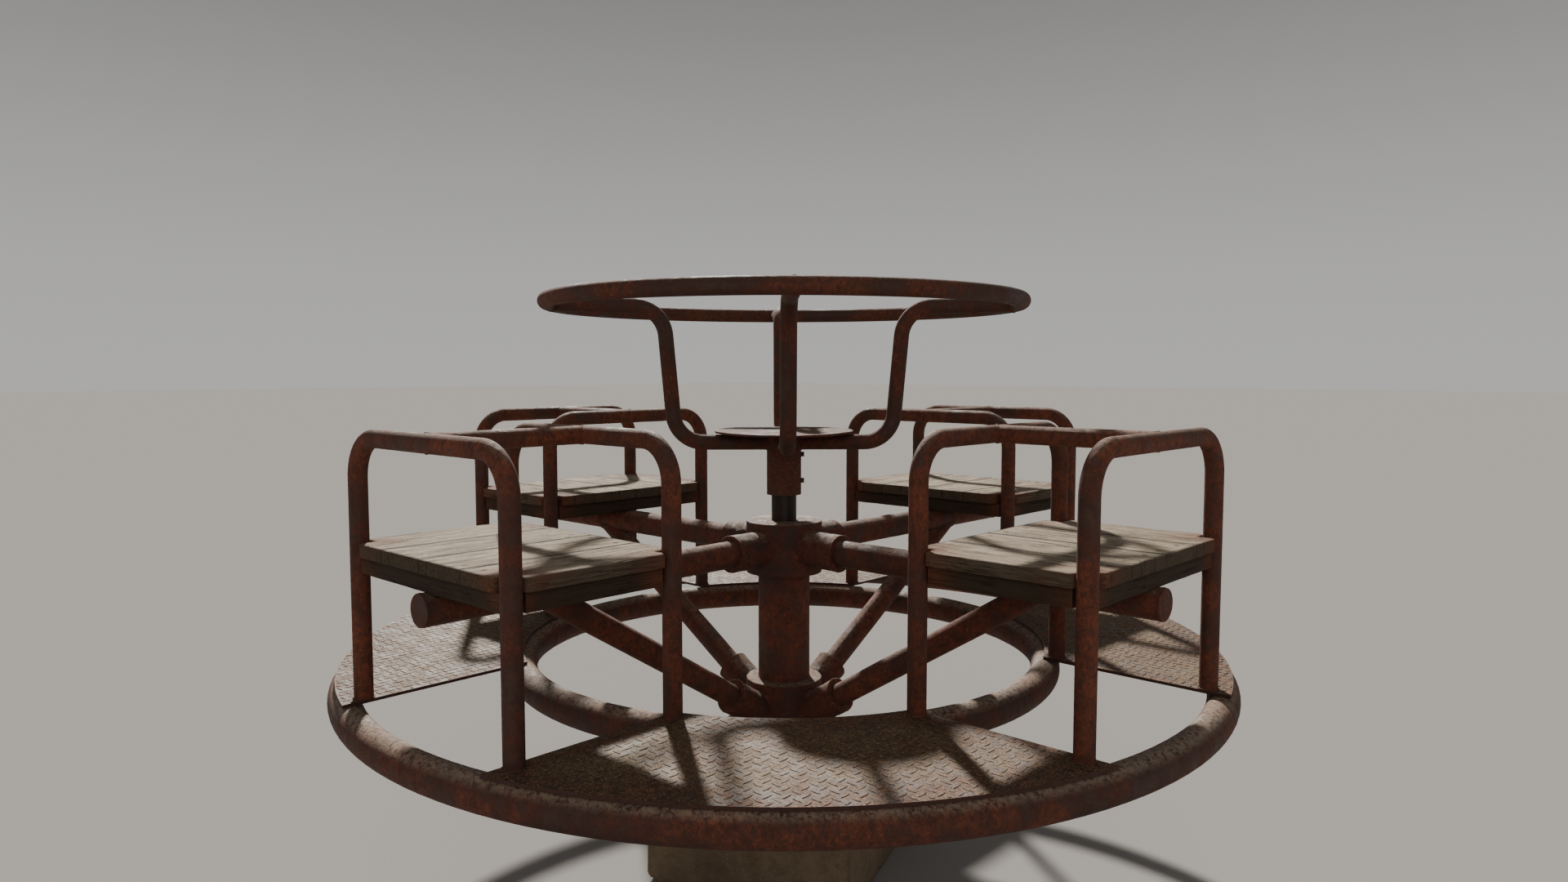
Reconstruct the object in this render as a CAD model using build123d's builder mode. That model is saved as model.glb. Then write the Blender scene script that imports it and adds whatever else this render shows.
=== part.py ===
from build123d import *
from math import atan2, cos, hypot, radians, sin, tan
import os

# A four-seat playground roundabout. A concrete footing and a fixed axle carry a fixed hand
# wheel, and the frame with the seats turns about the axle on two ball bearings.
# Millimetres, +Z up, origin on the axle's axis at the underside of the footing.
# Seat 1 lies along +X and the others follow counter-clockwise. A seat's own axes are
# X outwards, Y along the direction of travel, Z up.

# Levels, all measured from the underside of the footing
FOOTING_H = 236.0
RING_Z = 473.0  # centreline of both rings
SPOKE_Z = RING_Z + 236.6
ARMREST_Z = RING_Z + 508.0
WHEEL_ARM_Z = RING_Z + 466.8
WHEEL_RING_Z = RING_Z + 770.5

# Rings, and the tread plates lying on them
RING_PIPE_R = 30.15
RING_WALL = 4.0
OUTER_RING_R = 910.0
INNER_RING_R = 569.0
PLATE_T = 6.0
PLATE_OUTER_R = 926.0
PLATE_INNER_R = 567.0
PLATE_Z = RING_Z + RING_PIPE_R
POST_FOOT_Z = PLATE_Z + PLATE_T

# Seats
SEAT_COUNT = 4
SEAT_STEP = 360.0 / SEAT_COUNT
TUBE_R = 16.85
TUBE_WALL = 3.2
FRAME_BEND_R = 72.0
OUTER_FRAME_X = 850.0
INNER_FRAME_X = 540.0
POST_Y = 245.0
CROSSBAR_COPE = 5.0  # how far the coped ends stop short of the armrests' axes
PLATE_SIDE_Y = 228.0  # in line with the inner sides of the posts
BEARER_H = 32.3
BEARER_W = 30.0
BEARER_SETBACK = 10.0  # from the edge of the boards
BEARER_POST_GAP = 2.0
PLANK_T = 24.0
PLANK_COUNT = 4
PLANK_GAP = 2.0
BOARD_X_MIN = 522.0
BOARD_X_MAX = 866.5
BOARD_HALF_Y = 257.5
NOTCH_SIDE_GAP = 9.0  # between a post and the notch in the boards, along Y
NOTCH_END_GAP = 1.5  # the same, along X
NOTCH_SHOULDER_R = 10.0
NOTCH_ROOT_R = 4.0
SAME_PLACE = 0.5  # tolerance when corners are picked by where they are

# Wood screws that hold the planks to the bearers
SCREW_HEAD_R = 5.0
SCREW_SHANK_R = 2.5
SCREW_CONE_H = 2.8
SCREW_HEAD_RIM = 0.4
SCREW_LENGTH = 46.0
SCREW_EDGE = 28.0  # from the long edges of a plank

# Hub, spokes and braces
HUB_R = 84.15
HUB_EDGE = 2.5
HUB_BORE_R = 40.0
LOWER_HUB_Z = RING_Z - 173.0
LOWER_HUB_H = 113.0
UPPER_HUB_Z = RING_Z + 179.0
UPPER_HUB_H = 114.0
COLUMN_R = 57.15
COLUMN_WALL = 6.0
SPOKE_R = 28.5
SPOKE_WALL = 4.0
SPOKE_END = 862.0
SPOKE_CAP_T = 6.0
SPOKE_CAP_EDGE = 1.2
BRACE_R = 24.15
BRACE_WALL = 3.6
BRACE_FOOT_Z = RING_Z - 119.2  # where the brace's axis leaves the lower hub
BRACE_TOP_X = 648.8  # where it meets the spoke's axis
COLLAR_R = 39.0
COLLAR_END = 166.0
BRACE_COLLAR_R = 36.5
BRACE_COLLAR_LENGTH = 96.0

# Ball bearings, 55 x 100 x 21, pressed on the axle and into the hubs
BEARING_BORE_R = 27.5
BEARING_OUTER_R = 50.0
BEARING_W = 21.0
BEARING_PITCH_R = 38.75
INNER_RACE_R = 33.5
OUTER_RACE_R = 44.0
BALL_R = 7.15
GROOVE_R = 7.3
BALL_COUNT = 10
COVER_T = 10.0
COVER_RELIEF_T = 3.0
COVER_RELIEF_R = 38.0
LOWER_BEARING_Z = LOWER_HUB_Z + COVER_T
UPPER_BEARING_Z = UPPER_HUB_Z + UPPER_HUB_H - COVER_T - BEARING_W

# Fixed axle, its base plate and anchors
AXLE_R = BEARING_BORE_R
AXLE_FOOT_R = 32.0
AXLE_BOTTOM = 86.0
AXLE_TOP = RING_Z + 470.0
AXLE_CHAMFER = 2.0
AXLE_CLEARANCE = 0.7
FOOT_CLEARANCE = 2.5
FOOTING_SIDE = 455.0
FOOTING_TURN = 20.6
FOOTING_EDGE = 6.0
BASE_SIDE = 300.0
BASE_T = 12.0
BASE_CORNER_R = 12.0
ANCHOR_SPACING = 230.0
ANCHOR_R = 8.0
ANCHOR_DEPTH = 180.0
ANCHOR_ABOVE = 24.0  # above the base plate
ANCHOR_CHAMFER = 1.0
NUT_FLATS = 24.0
NUT_H = 13.0
WASHER_R = 15.0
WASHER_T = 3.0

# Fixed hand wheel
SLEEVE_R = 38.05
SLEEVE_Z = RING_Z + 351.3
WHEEL_RING_R = 511.3
WHEEL_PLATE_R = 153.3
WHEEL_PLATE_T = 5.0
WHEEL_ARM_LOW_X = 239.0
WHEEL_ARM_TOP_X = 265.2
WHEEL_ARM_TOP_Z = RING_Z + 764.5
WHEEL_BEND_LOW_R = 67.0
WHEEL_BEND_TOP_R = 70.0
SLEEVE_TOP = WHEEL_ARM_Z + TUBE_R
SET_BOLT_LEVELS = (RING_Z + 381.5, RING_Z + 440.0)
SET_BOLT_R = 4.0
SET_BOLT_HEAD_R = 6.0
SET_BOLT_HEAD_H = 6.5

PIPE_INNER_R = TUBE_R - TUBE_WALL
BOARD_Z = SPOKE_Z + SPOKE_R + BEARER_H
BOARD_TOP = BOARD_Z + PLANK_T


def seat_plane(number, z=0.0):
    """Horizontal plane at height z, with X outwards along seat number 1 to 4."""
    angle = radians(SEAT_STEP * (number - 1))
    return Plane(origin=(0, 0, z), x_dir=(cos(angle), sin(angle), 0), z_dir=(0, 0, 1))


def corner_plane(number, z=0.0):
    """The same, turned half a step, so that X points between two seats."""
    angle = radians(SEAT_STEP * (number - 1) + SEAT_STEP / 2)
    return Plane(origin=(0, 0, z), x_dir=(cos(angle), sin(angle), 0), z_dir=(0, 0, 1))


def outward_plane(number, x, z):
    """Upright plane at distance x from the axis, facing outwards, with its X along seat Y."""
    seat = seat_plane(number)
    return Plane(origin=seat.from_local_coords((x, 0, z)), x_dir=seat.y_dir, z_dir=seat.x_dir)


def write(name, part):
    part.label = name
    export_step(part, f"parts/{name}.step")


def ring_pipe(radius, height, pipe_r, wall):
    """A pipe bent into a closed ring about the Z axis."""
    with BuildPart() as ring:
        with BuildSketch(Plane.XZ):
            with Locations((radius, height)):
                Circle(pipe_r)
                Circle(pipe_r - wall, mode=Mode.SUBTRACT)
        revolve(axis=Axis.Z)
    return ring.part


def turned(profile):
    """A solid turned about the Z axis from a closed outline of (radius, height) points."""
    with BuildPart() as body:
        with BuildSketch(Plane.XZ):
            with BuildLine():
                Polyline(*profile, close=True)
            make_face()
        revolve(axis=Axis.Z)
    return body.part


# ---- footing, base plate and anchors ----

FOOTING_PLANE = Plane.XY.rotated((0, 0, FOOTING_TURN))
BASE_TOP = FOOTING_H + BASE_T


def footing():
    with BuildPart() as block:
        with BuildSketch(FOOTING_PLANE):
            Rectangle(FOOTING_SIDE, FOOTING_SIDE)
        extrude(amount=FOOTING_H)
        chamfer(block.edges().group_by(Axis.Z)[-1], FOOTING_EDGE)
        with BuildSketch(FOOTING_PLANE.offset(FOOTING_H)):
            Circle(AXLE_FOOT_R)
        extrude(amount=AXLE_BOTTOM - FOOTING_H, mode=Mode.SUBTRACT)
        with BuildSketch(FOOTING_PLANE.offset(FOOTING_H)):
            with GridLocations(ANCHOR_SPACING, ANCHOR_SPACING, 2, 2):
                Circle(ANCHOR_R)
        extrude(amount=-ANCHOR_DEPTH, mode=Mode.SUBTRACT)
    return block.part


def base_plate():
    with BuildPart() as plate:
        with BuildSketch(FOOTING_PLANE.offset(FOOTING_H)):
            RectangleRounded(BASE_SIDE, BASE_SIDE, BASE_CORNER_R)
            Circle(AXLE_FOOT_R, mode=Mode.SUBTRACT)
            with GridLocations(ANCHOR_SPACING, ANCHOR_SPACING, 2, 2):
                Circle(ANCHOR_R, mode=Mode.SUBTRACT)
        extrude(amount=BASE_T)
    return plate.part


def anchor_bolts():
    with BuildPart() as studs:
        with BuildSketch(FOOTING_PLANE.offset(FOOTING_H - ANCHOR_DEPTH)):
            with GridLocations(ANCHOR_SPACING, ANCHOR_SPACING, 2, 2):
                Circle(ANCHOR_R)
        extrude(amount=ANCHOR_DEPTH + BASE_T + ANCHOR_ABOVE)
        chamfer(studs.edges().group_by(Axis.Z)[-1], ANCHOR_CHAMFER)
    return studs.part


def anchor_nuts():
    """Four nuts, each on its washer, as eight solids."""
    with BuildPart() as nuts:
        with BuildSketch(FOOTING_PLANE.offset(BASE_TOP + WASHER_T)):
            with GridLocations(ANCHOR_SPACING, ANCHOR_SPACING, 2, 2):
                RegularPolygon(NUT_FLATS / 2, 6, major_radius=False)
                Circle(ANCHOR_R, mode=Mode.SUBTRACT)
        extrude(amount=NUT_H)
    with BuildPart() as washers:
        with BuildSketch(FOOTING_PLANE.offset(BASE_TOP)):
            with GridLocations(ANCHOR_SPACING, ANCHOR_SPACING, 2, 2):
                Circle(WASHER_R)
                Circle(ANCHOR_R, mode=Mode.SUBTRACT)
        extrude(amount=WASHER_T)
    return Compound(children=[*nuts.solids(), *washers.solids()])


def axle():
    shoulder = LOWER_BEARING_Z
    with BuildPart() as shaft:
        with BuildSketch(Plane.XZ):
            with BuildLine():
                Polyline(
                    (0, AXLE_BOTTOM),
                    (AXLE_FOOT_R, AXLE_BOTTOM),
                    (AXLE_FOOT_R, shoulder),
                    (AXLE_R, shoulder),
                    (AXLE_R, AXLE_TOP - AXLE_CHAMFER),
                    (AXLE_R - AXLE_CHAMFER, AXLE_TOP),
                    (0, AXLE_TOP),
                    close=True,
                )
            make_face()
        revolve(axis=Axis.Z)
    return shaft.part


# ---- bearings ----


def bearing_race(z, inner_r, outer_r):
    """One race of a ball bearing, with the balls' groove cut into it."""
    with BuildPart() as race:
        with BuildSketch(Plane.XZ):
            with Locations(((inner_r + outer_r) / 2, z + BEARING_W / 2)):
                Rectangle(outer_r - inner_r, BEARING_W)
            with Locations((BEARING_PITCH_R, z + BEARING_W / 2)):
                Circle(GROOVE_R, mode=Mode.SUBTRACT)
        revolve(axis=Axis.Z)
    return race.part


def bearing_balls():
    with BuildPart() as balls:
        for z in (LOWER_BEARING_Z, UPPER_BEARING_Z):
            with Locations((0, 0, z + BEARING_W / 2)):
                with PolarLocations(BEARING_PITCH_R, BALL_COUNT):
                    Sphere(BALL_R)
    return balls.part


def bearing_covers():
    """The dust covers that close the two hubs over their bearings."""
    low = LOWER_HUB_Z
    top = UPPER_HUB_Z + UPPER_HUB_H
    relief = top - COVER_T + COVER_RELIEF_T
    lower = turned([
        (AXLE_FOOT_R + FOOT_CLEARANCE, low),
        (BEARING_OUTER_R, low),
        (BEARING_OUTER_R, low + COVER_T),
        (AXLE_FOOT_R + FOOT_CLEARANCE, low + COVER_T),
    ])
    upper = turned([
        (AXLE_R + AXLE_CLEARANCE, relief),
        (COVER_RELIEF_R, relief),
        (COVER_RELIEF_R, top - COVER_T),
        (BEARING_OUTER_R, top - COVER_T),
        (BEARING_OUTER_R, top),
        (AXLE_R + AXLE_CLEARANCE, top),
    ])
    return Compound(children=[*lower.solids(), *upper.solids()])


# ---- hub and column ----


def lower_hub():
    top = LOWER_HUB_Z + LOWER_HUB_H
    seat_top = LOWER_BEARING_Z + BEARING_W
    return turned([
        (BEARING_OUTER_R, LOWER_HUB_Z),
        (HUB_R - HUB_EDGE, LOWER_HUB_Z),
        (HUB_R, LOWER_HUB_Z + HUB_EDGE),
        (HUB_R, top - HUB_EDGE),
        (HUB_R - HUB_EDGE, top),
        (HUB_BORE_R, top),
        (HUB_BORE_R, seat_top),
        (BEARING_OUTER_R, seat_top),
    ])


def upper_hub():
    top = UPPER_HUB_Z + UPPER_HUB_H
    return turned([
        (HUB_BORE_R, UPPER_HUB_Z),
        (HUB_R - HUB_EDGE, UPPER_HUB_Z),
        (HUB_R, UPPER_HUB_Z + HUB_EDGE),
        (HUB_R, top - HUB_EDGE),
        (HUB_R - HUB_EDGE, top),
        (BEARING_OUTER_R, top),
        (BEARING_OUTER_R, UPPER_BEARING_Z),
        (HUB_BORE_R, UPPER_BEARING_Z),
    ])


def column():
    with BuildPart() as tube:
        with BuildSketch(Plane.XY.offset(LOWER_HUB_Z + LOWER_HUB_H)):
            Circle(COLUMN_R)
            Circle(COLUMN_R - COLUMN_WALL, mode=Mode.SUBTRACT)
        extrude(amount=UPPER_HUB_Z - LOWER_HUB_Z - LOWER_HUB_H)
    return tube.part


# The room that the hubs take up, which copes what is welded to them.
with BuildPart() as hub_room:
    with BuildSketch(Plane.XY):
        Circle(HUB_R)
    extrude(amount=WHEEL_RING_Z)


# ---- spokes and braces ----


def brace_plane(number):
    """Plane on the hub's axis, square to a brace, with its normal up along the brace."""
    rise = atan2(SPOKE_Z - BRACE_FOOT_Z, BRACE_TOP_X - HUB_R)
    seat = seat_plane(number)
    start = seat.from_local_coords((0, 0, BRACE_FOOT_Z - HUB_R * tan(rise)))
    along = seat.x_dir * cos(rise) + seat.z_dir * sin(rise)
    return Plane(origin=start, x_dir=seat.y_dir, z_dir=along)


BRACE_LENGTH = hypot(BRACE_TOP_X, (SPOKE_Z - BRACE_FOOT_Z) * BRACE_TOP_X / (BRACE_TOP_X - HUB_R))
BRACE_HUB = BRACE_LENGTH * HUB_R / BRACE_TOP_X  # from the hub's axis to its surface


def spoke(number):
    with BuildPart() as pipe:
        with BuildSketch(outward_plane(number, COLUMN_R, SPOKE_Z)):
            Circle(SPOKE_R)
            Circle(SPOKE_R - SPOKE_WALL, mode=Mode.SUBTRACT)
        extrude(amount=SPOKE_END - COLUMN_R)
        add(hub_room.part, mode=Mode.SUBTRACT)
    return pipe.part


def spoke_caps():
    """The round plates that close the outer ends of the spokes."""
    with BuildPart() as caps:
        for number in range(1, SEAT_COUNT + 1):
            with BuildSketch(outward_plane(number, SPOKE_END, SPOKE_Z)):
                Circle(SPOKE_R)
            extrude(amount=SPOKE_CAP_T)
        ends = caps.edges().filter_by(GeomType.CIRCLE)
        reach = SPOKE_END + SPOKE_CAP_T / 2
        far = ends.filter_by(lambda e: hypot(e.arc_center.X, e.arc_center.Y) > reach)
        chamfer(far, SPOKE_CAP_EDGE)
    return caps.part


def brace(number):
    with BuildPart() as pipe:
        with BuildSketch(brace_plane(number)):
            Circle(BRACE_R)
            Circle(BRACE_R - BRACE_WALL, mode=Mode.SUBTRACT)
        extrude(amount=BRACE_LENGTH)
        add(hub_room.part, mode=Mode.SUBTRACT)
        with BuildSketch(outward_plane(number, COLUMN_R, SPOKE_Z)):
            Circle(SPOKE_R)
        extrude(amount=SPOKE_END - COLUMN_R, mode=Mode.SUBTRACT)
    return pipe.part


def spoke_collars():
    """The sockets on the upper hub that the spokes stand in."""
    with BuildPart() as collars:
        for number in range(1, SEAT_COUNT + 1):
            with BuildSketch(outward_plane(number, COLUMN_R, SPOKE_Z)):
                Circle(COLLAR_R)
                Circle(SPOKE_R, mode=Mode.SUBTRACT)
            extrude(amount=COLLAR_END - COLUMN_R)
        add(hub_room.part, mode=Mode.SUBTRACT)
    return collars.part


def brace_collars():
    """The sockets on the lower hub that the braces stand in."""
    with BuildPart() as collars:
        for number in range(1, SEAT_COUNT + 1):
            with BuildSketch(brace_plane(number).offset(BRACE_HUB / 2)):
                Circle(BRACE_COLLAR_R)
                Circle(BRACE_R, mode=Mode.SUBTRACT)
            extrude(amount=BRACE_HUB / 2 + BRACE_COLLAR_LENGTH)
        add(hub_room.part, mode=Mode.SUBTRACT)
    return collars.part


# ---- tread plates ----


def footplate(number):
    """Tread plate between two seats, with its sides in line with their posts."""
    with BuildPart() as plate:
        with BuildSketch(seat_plane(number, PLATE_Z)):
            Circle(PLATE_OUTER_R)
            Circle(PLATE_INNER_R, mode=Mode.SUBTRACT)
            with Locations((PLATE_SIDE_Y, PLATE_SIDE_Y)):
                side = PLATE_OUTER_R
                Rectangle(side, side, align=(Align.MIN, Align.MIN), mode=Mode.INTERSECT)
        extrude(amount=PLATE_T)
    return plate.part


# ---- seats ----


def seat_frame(number, x):
    """A bent tube, both its legs standing on the tread plates beside the seat."""
    plane = outward_plane(number, x, 0)
    with BuildPart() as frame:
        with BuildLine(plane) as path:
            FilletPolyline(
                (-POST_Y, POST_FOOT_Z),
                (-POST_Y, ARMREST_Z),
                (POST_Y, ARMREST_Z),
                (POST_Y, POST_FOOT_Z),
                radius=FRAME_BEND_R,
            )
        with BuildSketch(Plane(origin=path.line @ 0, z_dir=path.line % 0)):
            Circle(TUBE_R)
            Circle(PIPE_INNER_R, mode=Mode.SUBTRACT)
        sweep()
    return frame.part


def crossbar(number):
    """The backrest tube between the two armrests, coped to fit round them."""
    with BuildPart() as bar:
        with BuildSketch(outward_plane(number, INNER_FRAME_X + CROSSBAR_COPE, ARMREST_Z)):
            Circle(TUBE_R)
            Circle(PIPE_INNER_R, mode=Mode.SUBTRACT)
        extrude(amount=OUTER_FRAME_X - INNER_FRAME_X - 2 * CROSSBAR_COPE)
        seat = seat_plane(number, ARMREST_Z)
        for x in (INNER_FRAME_X, OUTER_FRAME_X):
            centre = seat.from_local_coords((x, 0, 0))
            with BuildSketch(Plane(origin=centre, x_dir=seat.x_dir, z_dir=seat.y_dir)):
                Circle(TUBE_R)
            extrude(amount=POST_Y, both=True, mode=Mode.SUBTRACT)
    return bar.part


def screw_rows():
    """Where the screws stand in a seat's own X and Y: two at each end of each plank."""
    pitch = 2 * BOARD_HALF_Y / PLANK_COUNT
    xs = (
        BOARD_X_MIN + BEARER_SETBACK + BEARER_W / 2,
        BOARD_X_MAX - BEARER_SETBACK - BEARER_W / 2,
    )
    ys = []
    for plank in range(PLANK_COUNT):
        low = -BOARD_HALF_Y + plank * pitch
        ys += [low + SCREW_EDGE, low + pitch - SCREW_EDGE]
    # The outermost screws move in, clear of the notches round the posts.
    limit = POST_Y - TUBE_R - NOTCH_SIDE_GAP - 2 * SCREW_HEAD_R
    ys = [max(-limit, min(limit, y)) for y in ys]
    return [(x, y) for x in xs for y in ys]


# A countersunk screw, standing on its tip at the origin.
screw = turned([
    (0, 0),
    (SCREW_SHANK_R, 0),
    (SCREW_SHANK_R, SCREW_LENGTH - SCREW_HEAD_RIM - SCREW_CONE_H),
    (SCREW_HEAD_R, SCREW_LENGTH - SCREW_HEAD_RIM),
    (SCREW_HEAD_R, SCREW_LENGTH),
    (0, SCREW_LENGTH),
])


def seat_screws():
    placed = []
    for number in range(1, SEAT_COUNT + 1):
        seat = seat_plane(number, BOARD_TOP - SCREW_LENGTH)
        for x, y in screw_rows():
            placed.append(screw.moved(Location(seat.from_local_coords((x, y, 0)))))
    return Compound(children=[solid for one in placed for solid in one.solids()])


def bearers(number):
    """Four timbers under the planks: two across the spoke, two between them at the sides."""
    x_out = BOARD_X_MAX - BEARER_SETBACK
    x_in = BOARD_X_MIN + BEARER_SETBACK
    end_half = POST_Y - TUBE_R - BEARER_POST_GAP
    side_y = BOARD_HALF_Y - BEARER_SETBACK - BEARER_W / 2
    side_length = x_out - x_in - 2 * BEARER_W
    timbers = []
    for x in (x_in + BEARER_W / 2, x_out - BEARER_W / 2):
        with BuildPart() as timber:
            with BuildSketch(seat_plane(number, SPOKE_Z + SPOKE_R)):
                with Locations((x, 0)):
                    Rectangle(BEARER_W, 2 * end_half)
            extrude(amount=BEARER_H)
            with BuildSketch(seat_plane(number, BOARD_TOP - SCREW_LENGTH)):
                with Locations(*screw_rows()):
                    Circle(SCREW_SHANK_R)
            extrude(amount=SCREW_LENGTH, mode=Mode.SUBTRACT)
        timbers += timber.solids()
    with BuildPart() as sides:
        with BuildSketch(seat_plane(number, SPOKE_Z + SPOKE_R)):
            with Locations(((x_in + x_out) / 2, side_y), ((x_in + x_out) / 2, -side_y)):
                Rectangle(side_length, BEARER_W)
        extrude(amount=BEARER_H)
    return Compound(children=[*timbers, *sides.solids()])


def board_outline():
    """The outline of a seat's four planks together, notched round the posts."""
    with BuildSketch(mode=Mode.PRIVATE) as outline:
        with Locations(((BOARD_X_MIN + BOARD_X_MAX) / 2, 0)):
            Rectangle(BOARD_X_MAX - BOARD_X_MIN, 2 * BOARD_HALF_Y)
        notch_y = POST_Y - TUBE_R - NOTCH_SIDE_GAP
        outer_x = OUTER_FRAME_X - TUBE_R - NOTCH_END_GAP
        inner_x = INNER_FRAME_X + TUBE_R + NOTCH_END_GAP
        deep = BOARD_HALF_Y  # more than enough to reach past the edge
        for x, align_x in ((outer_x, Align.MIN), (inner_x, Align.MAX)):
            for y, align_y in ((notch_y, Align.MIN), (-notch_y, Align.MAX)):
                with Locations((x, y)):
                    Rectangle(deep, deep, align=(align_x, align_y), mode=Mode.SUBTRACT)
        fillet(outline.vertices().filter_by(is_notch_root), NOTCH_ROOT_R)
        fillet(outline.vertices().filter_by(is_shoulder), NOTCH_SHOULDER_R)
    return outline.sketch


def is_shoulder(corner):
    """Whether a corner of the outline lies on an edge of the boards, beside a notch."""
    on_end = min(abs(corner.X - BOARD_X_MAX), abs(corner.X - BOARD_X_MIN)) < SAME_PLACE
    on_side = abs(abs(corner.Y) - BOARD_HALF_Y) < SAME_PLACE
    return on_end or on_side


def is_notch_root(corner):
    return not is_shoulder(corner)


def planks(number):
    """Four planks side by side, running outwards."""
    outline = board_outline()
    pitch = 2 * BOARD_HALF_Y / PLANK_COUNT
    boards = []
    for index in range(PLANK_COUNT):
        y = -BOARD_HALF_Y + (index + 0.5) * pitch
        with BuildPart() as board:
            with BuildSketch(seat_plane(number, BOARD_Z)):
                add(outline)
                with Locations(((BOARD_X_MIN + BOARD_X_MAX) / 2, y)):
                    length = BOARD_X_MAX - BOARD_X_MIN
                    Rectangle(length, pitch - PLANK_GAP, mode=Mode.INTERSECT)
            extrude(amount=PLANK_T)
            tips = seat_plane(number, BOARD_TOP - SCREW_LENGTH)
            own = [(x, row) for x, row in screw_rows() if abs(row - y) < pitch / 2]
            with Locations([tips.from_local_coords((x, row, 0)) for x, row in own]):
                add(screw, mode=Mode.SUBTRACT)
        boards += board.solids()
    return Compound(children=boards)


# ---- fixed hand wheel ----


def wheel_sleeve():
    with BuildPart() as sleeve:
        with BuildSketch(Plane.XY.offset(SLEEVE_Z)):
            Circle(SLEEVE_R)
            Circle(AXLE_R, mode=Mode.SUBTRACT)
        extrude(amount=SLEEVE_TOP - SLEEVE_Z)
        for level in SET_BOLT_LEVELS:
            with BuildSketch(set_bolt_plane(level)):
                Circle(SET_BOLT_R)
            extrude(amount=SLEEVE_R, mode=Mode.SUBTRACT)
    return sleeve.part


def set_bolt_plane(level):
    """Upright plane on the axis, facing outwards under the first arm."""
    side = corner_plane(1)
    return Plane(origin=(0, 0, level), x_dir=side.y_dir, z_dir=side.x_dir)


def set_bolts():
    """The two bolts that clamp the sleeve to the axle."""
    with BuildPart() as bolts:
        for level in SET_BOLT_LEVELS:
            plane = set_bolt_plane(level)
            with BuildSketch(plane.offset(AXLE_R)):
                Circle(SET_BOLT_R)
            extrude(amount=SLEEVE_R - AXLE_R)
            with BuildSketch(plane.offset(SLEEVE_R)):
                RegularPolygon(SET_BOLT_HEAD_R, 6)
            extrude(amount=SET_BOLT_HEAD_H)
    return bolts.part


def wheel_arm(number):
    """A bent tube from the sleeve, out and up, to the inner side of the wheel's ring."""
    side = corner_plane(number)
    plane = Plane(origin=(0, 0, 0), x_dir=side.x_dir, z_dir=-side.y_dir)
    with BuildPart() as arm:
        with BuildLine(plane) as path:
            FilletPolyline(
                (AXLE_R, WHEEL_ARM_Z),
                (WHEEL_ARM_LOW_X, WHEEL_ARM_Z),
                (WHEEL_ARM_TOP_X, WHEEL_ARM_TOP_Z),
                (WHEEL_RING_R - CROSSBAR_COPE, WHEEL_RING_Z),
                radius=[WHEEL_BEND_LOW_R, WHEEL_BEND_TOP_R],
            )
        with BuildSketch(Plane(origin=path.line @ 0, z_dir=path.line % 0)):
            Circle(TUBE_R)
            Circle(PIPE_INNER_R, mode=Mode.SUBTRACT)
        sweep()
        with BuildSketch(Plane.XY.offset(SLEEVE_Z)):
            Circle(SLEEVE_R)
        extrude(amount=WHEEL_RING_Z - SLEEVE_Z, mode=Mode.SUBTRACT)
        with BuildSketch(Plane.XZ):
            with Locations((WHEEL_RING_R, WHEEL_RING_Z)):
                Circle(TUBE_R)
        revolve(axis=Axis.Z, mode=Mode.SUBTRACT)
    return arm.part


def wheel_plate():
    with BuildPart() as plate:
        with BuildSketch(Plane.XY.offset(SLEEVE_TOP)):
            Circle(WHEEL_PLATE_R)
        extrude(amount=WHEEL_PLATE_T)
    return plate.part


# ---- write every piece ----

os.makedirs("parts", exist_ok=True)

write("footing", footing())
write("base_plate", base_plate())
write("anchor_bolts", anchor_bolts())
write("anchor_nuts", anchor_nuts())
write("axle", axle())
write("lower_bearing_inner_race", bearing_race(LOWER_BEARING_Z, BEARING_BORE_R, INNER_RACE_R))
write("upper_bearing_inner_race", bearing_race(UPPER_BEARING_Z, BEARING_BORE_R, INNER_RACE_R))
write("lower_bearing_outer_race", bearing_race(LOWER_BEARING_Z, OUTER_RACE_R, BEARING_OUTER_R))
write("upper_bearing_outer_race", bearing_race(UPPER_BEARING_Z, OUTER_RACE_R, BEARING_OUTER_R))
write("bearing_balls", bearing_balls())
write("bearing_covers", bearing_covers())
write("lower_hub", lower_hub())
write("upper_hub", upper_hub())
write("column", column())
write("spoke_caps", spoke_caps())
write("spoke_collars", spoke_collars())
write("brace_collars", brace_collars())
write("outer_ring", ring_pipe(OUTER_RING_R, RING_Z, RING_PIPE_R, RING_WALL))
write("inner_ring", ring_pipe(INNER_RING_R, RING_Z, RING_PIPE_R, RING_WALL))
for number in range(1, SEAT_COUNT + 1):
    write(f"spoke_{number}", spoke(number))
    write(f"brace_{number}", brace(number))
    write(f"footplate_{number}", footplate(number))
    write(f"outer_frame_{number}", seat_frame(number, OUTER_FRAME_X))
    write(f"inner_frame_{number}", seat_frame(number, INNER_FRAME_X))
    write(f"crossbar_{number}", crossbar(number))
    write(f"bearers_{number}", bearers(number))
    write(f"planks_{number}", planks(number))
    write(f"wheel_arm_{number}", wheel_arm(number))
write("seat_screws", seat_screws())
write("wheel_sleeve", wheel_sleeve())
write("wheel_ring", ring_pipe(WHEEL_RING_R, WHEEL_RING_Z, TUBE_R, TUBE_WALL))
write("wheel_plate", wheel_plate())
write("set_bolts", set_bolts())
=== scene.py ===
from math import atan2, ceil, cos, exp, hypot, pi, radians, sin, sqrt, tan
from random import Random

import bmesh
import bpy
from mathutils import Matrix, Vector
from mathutils.geometry import delaunay_2d_cdt
from mathutils.noise import noise as lumps


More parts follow.
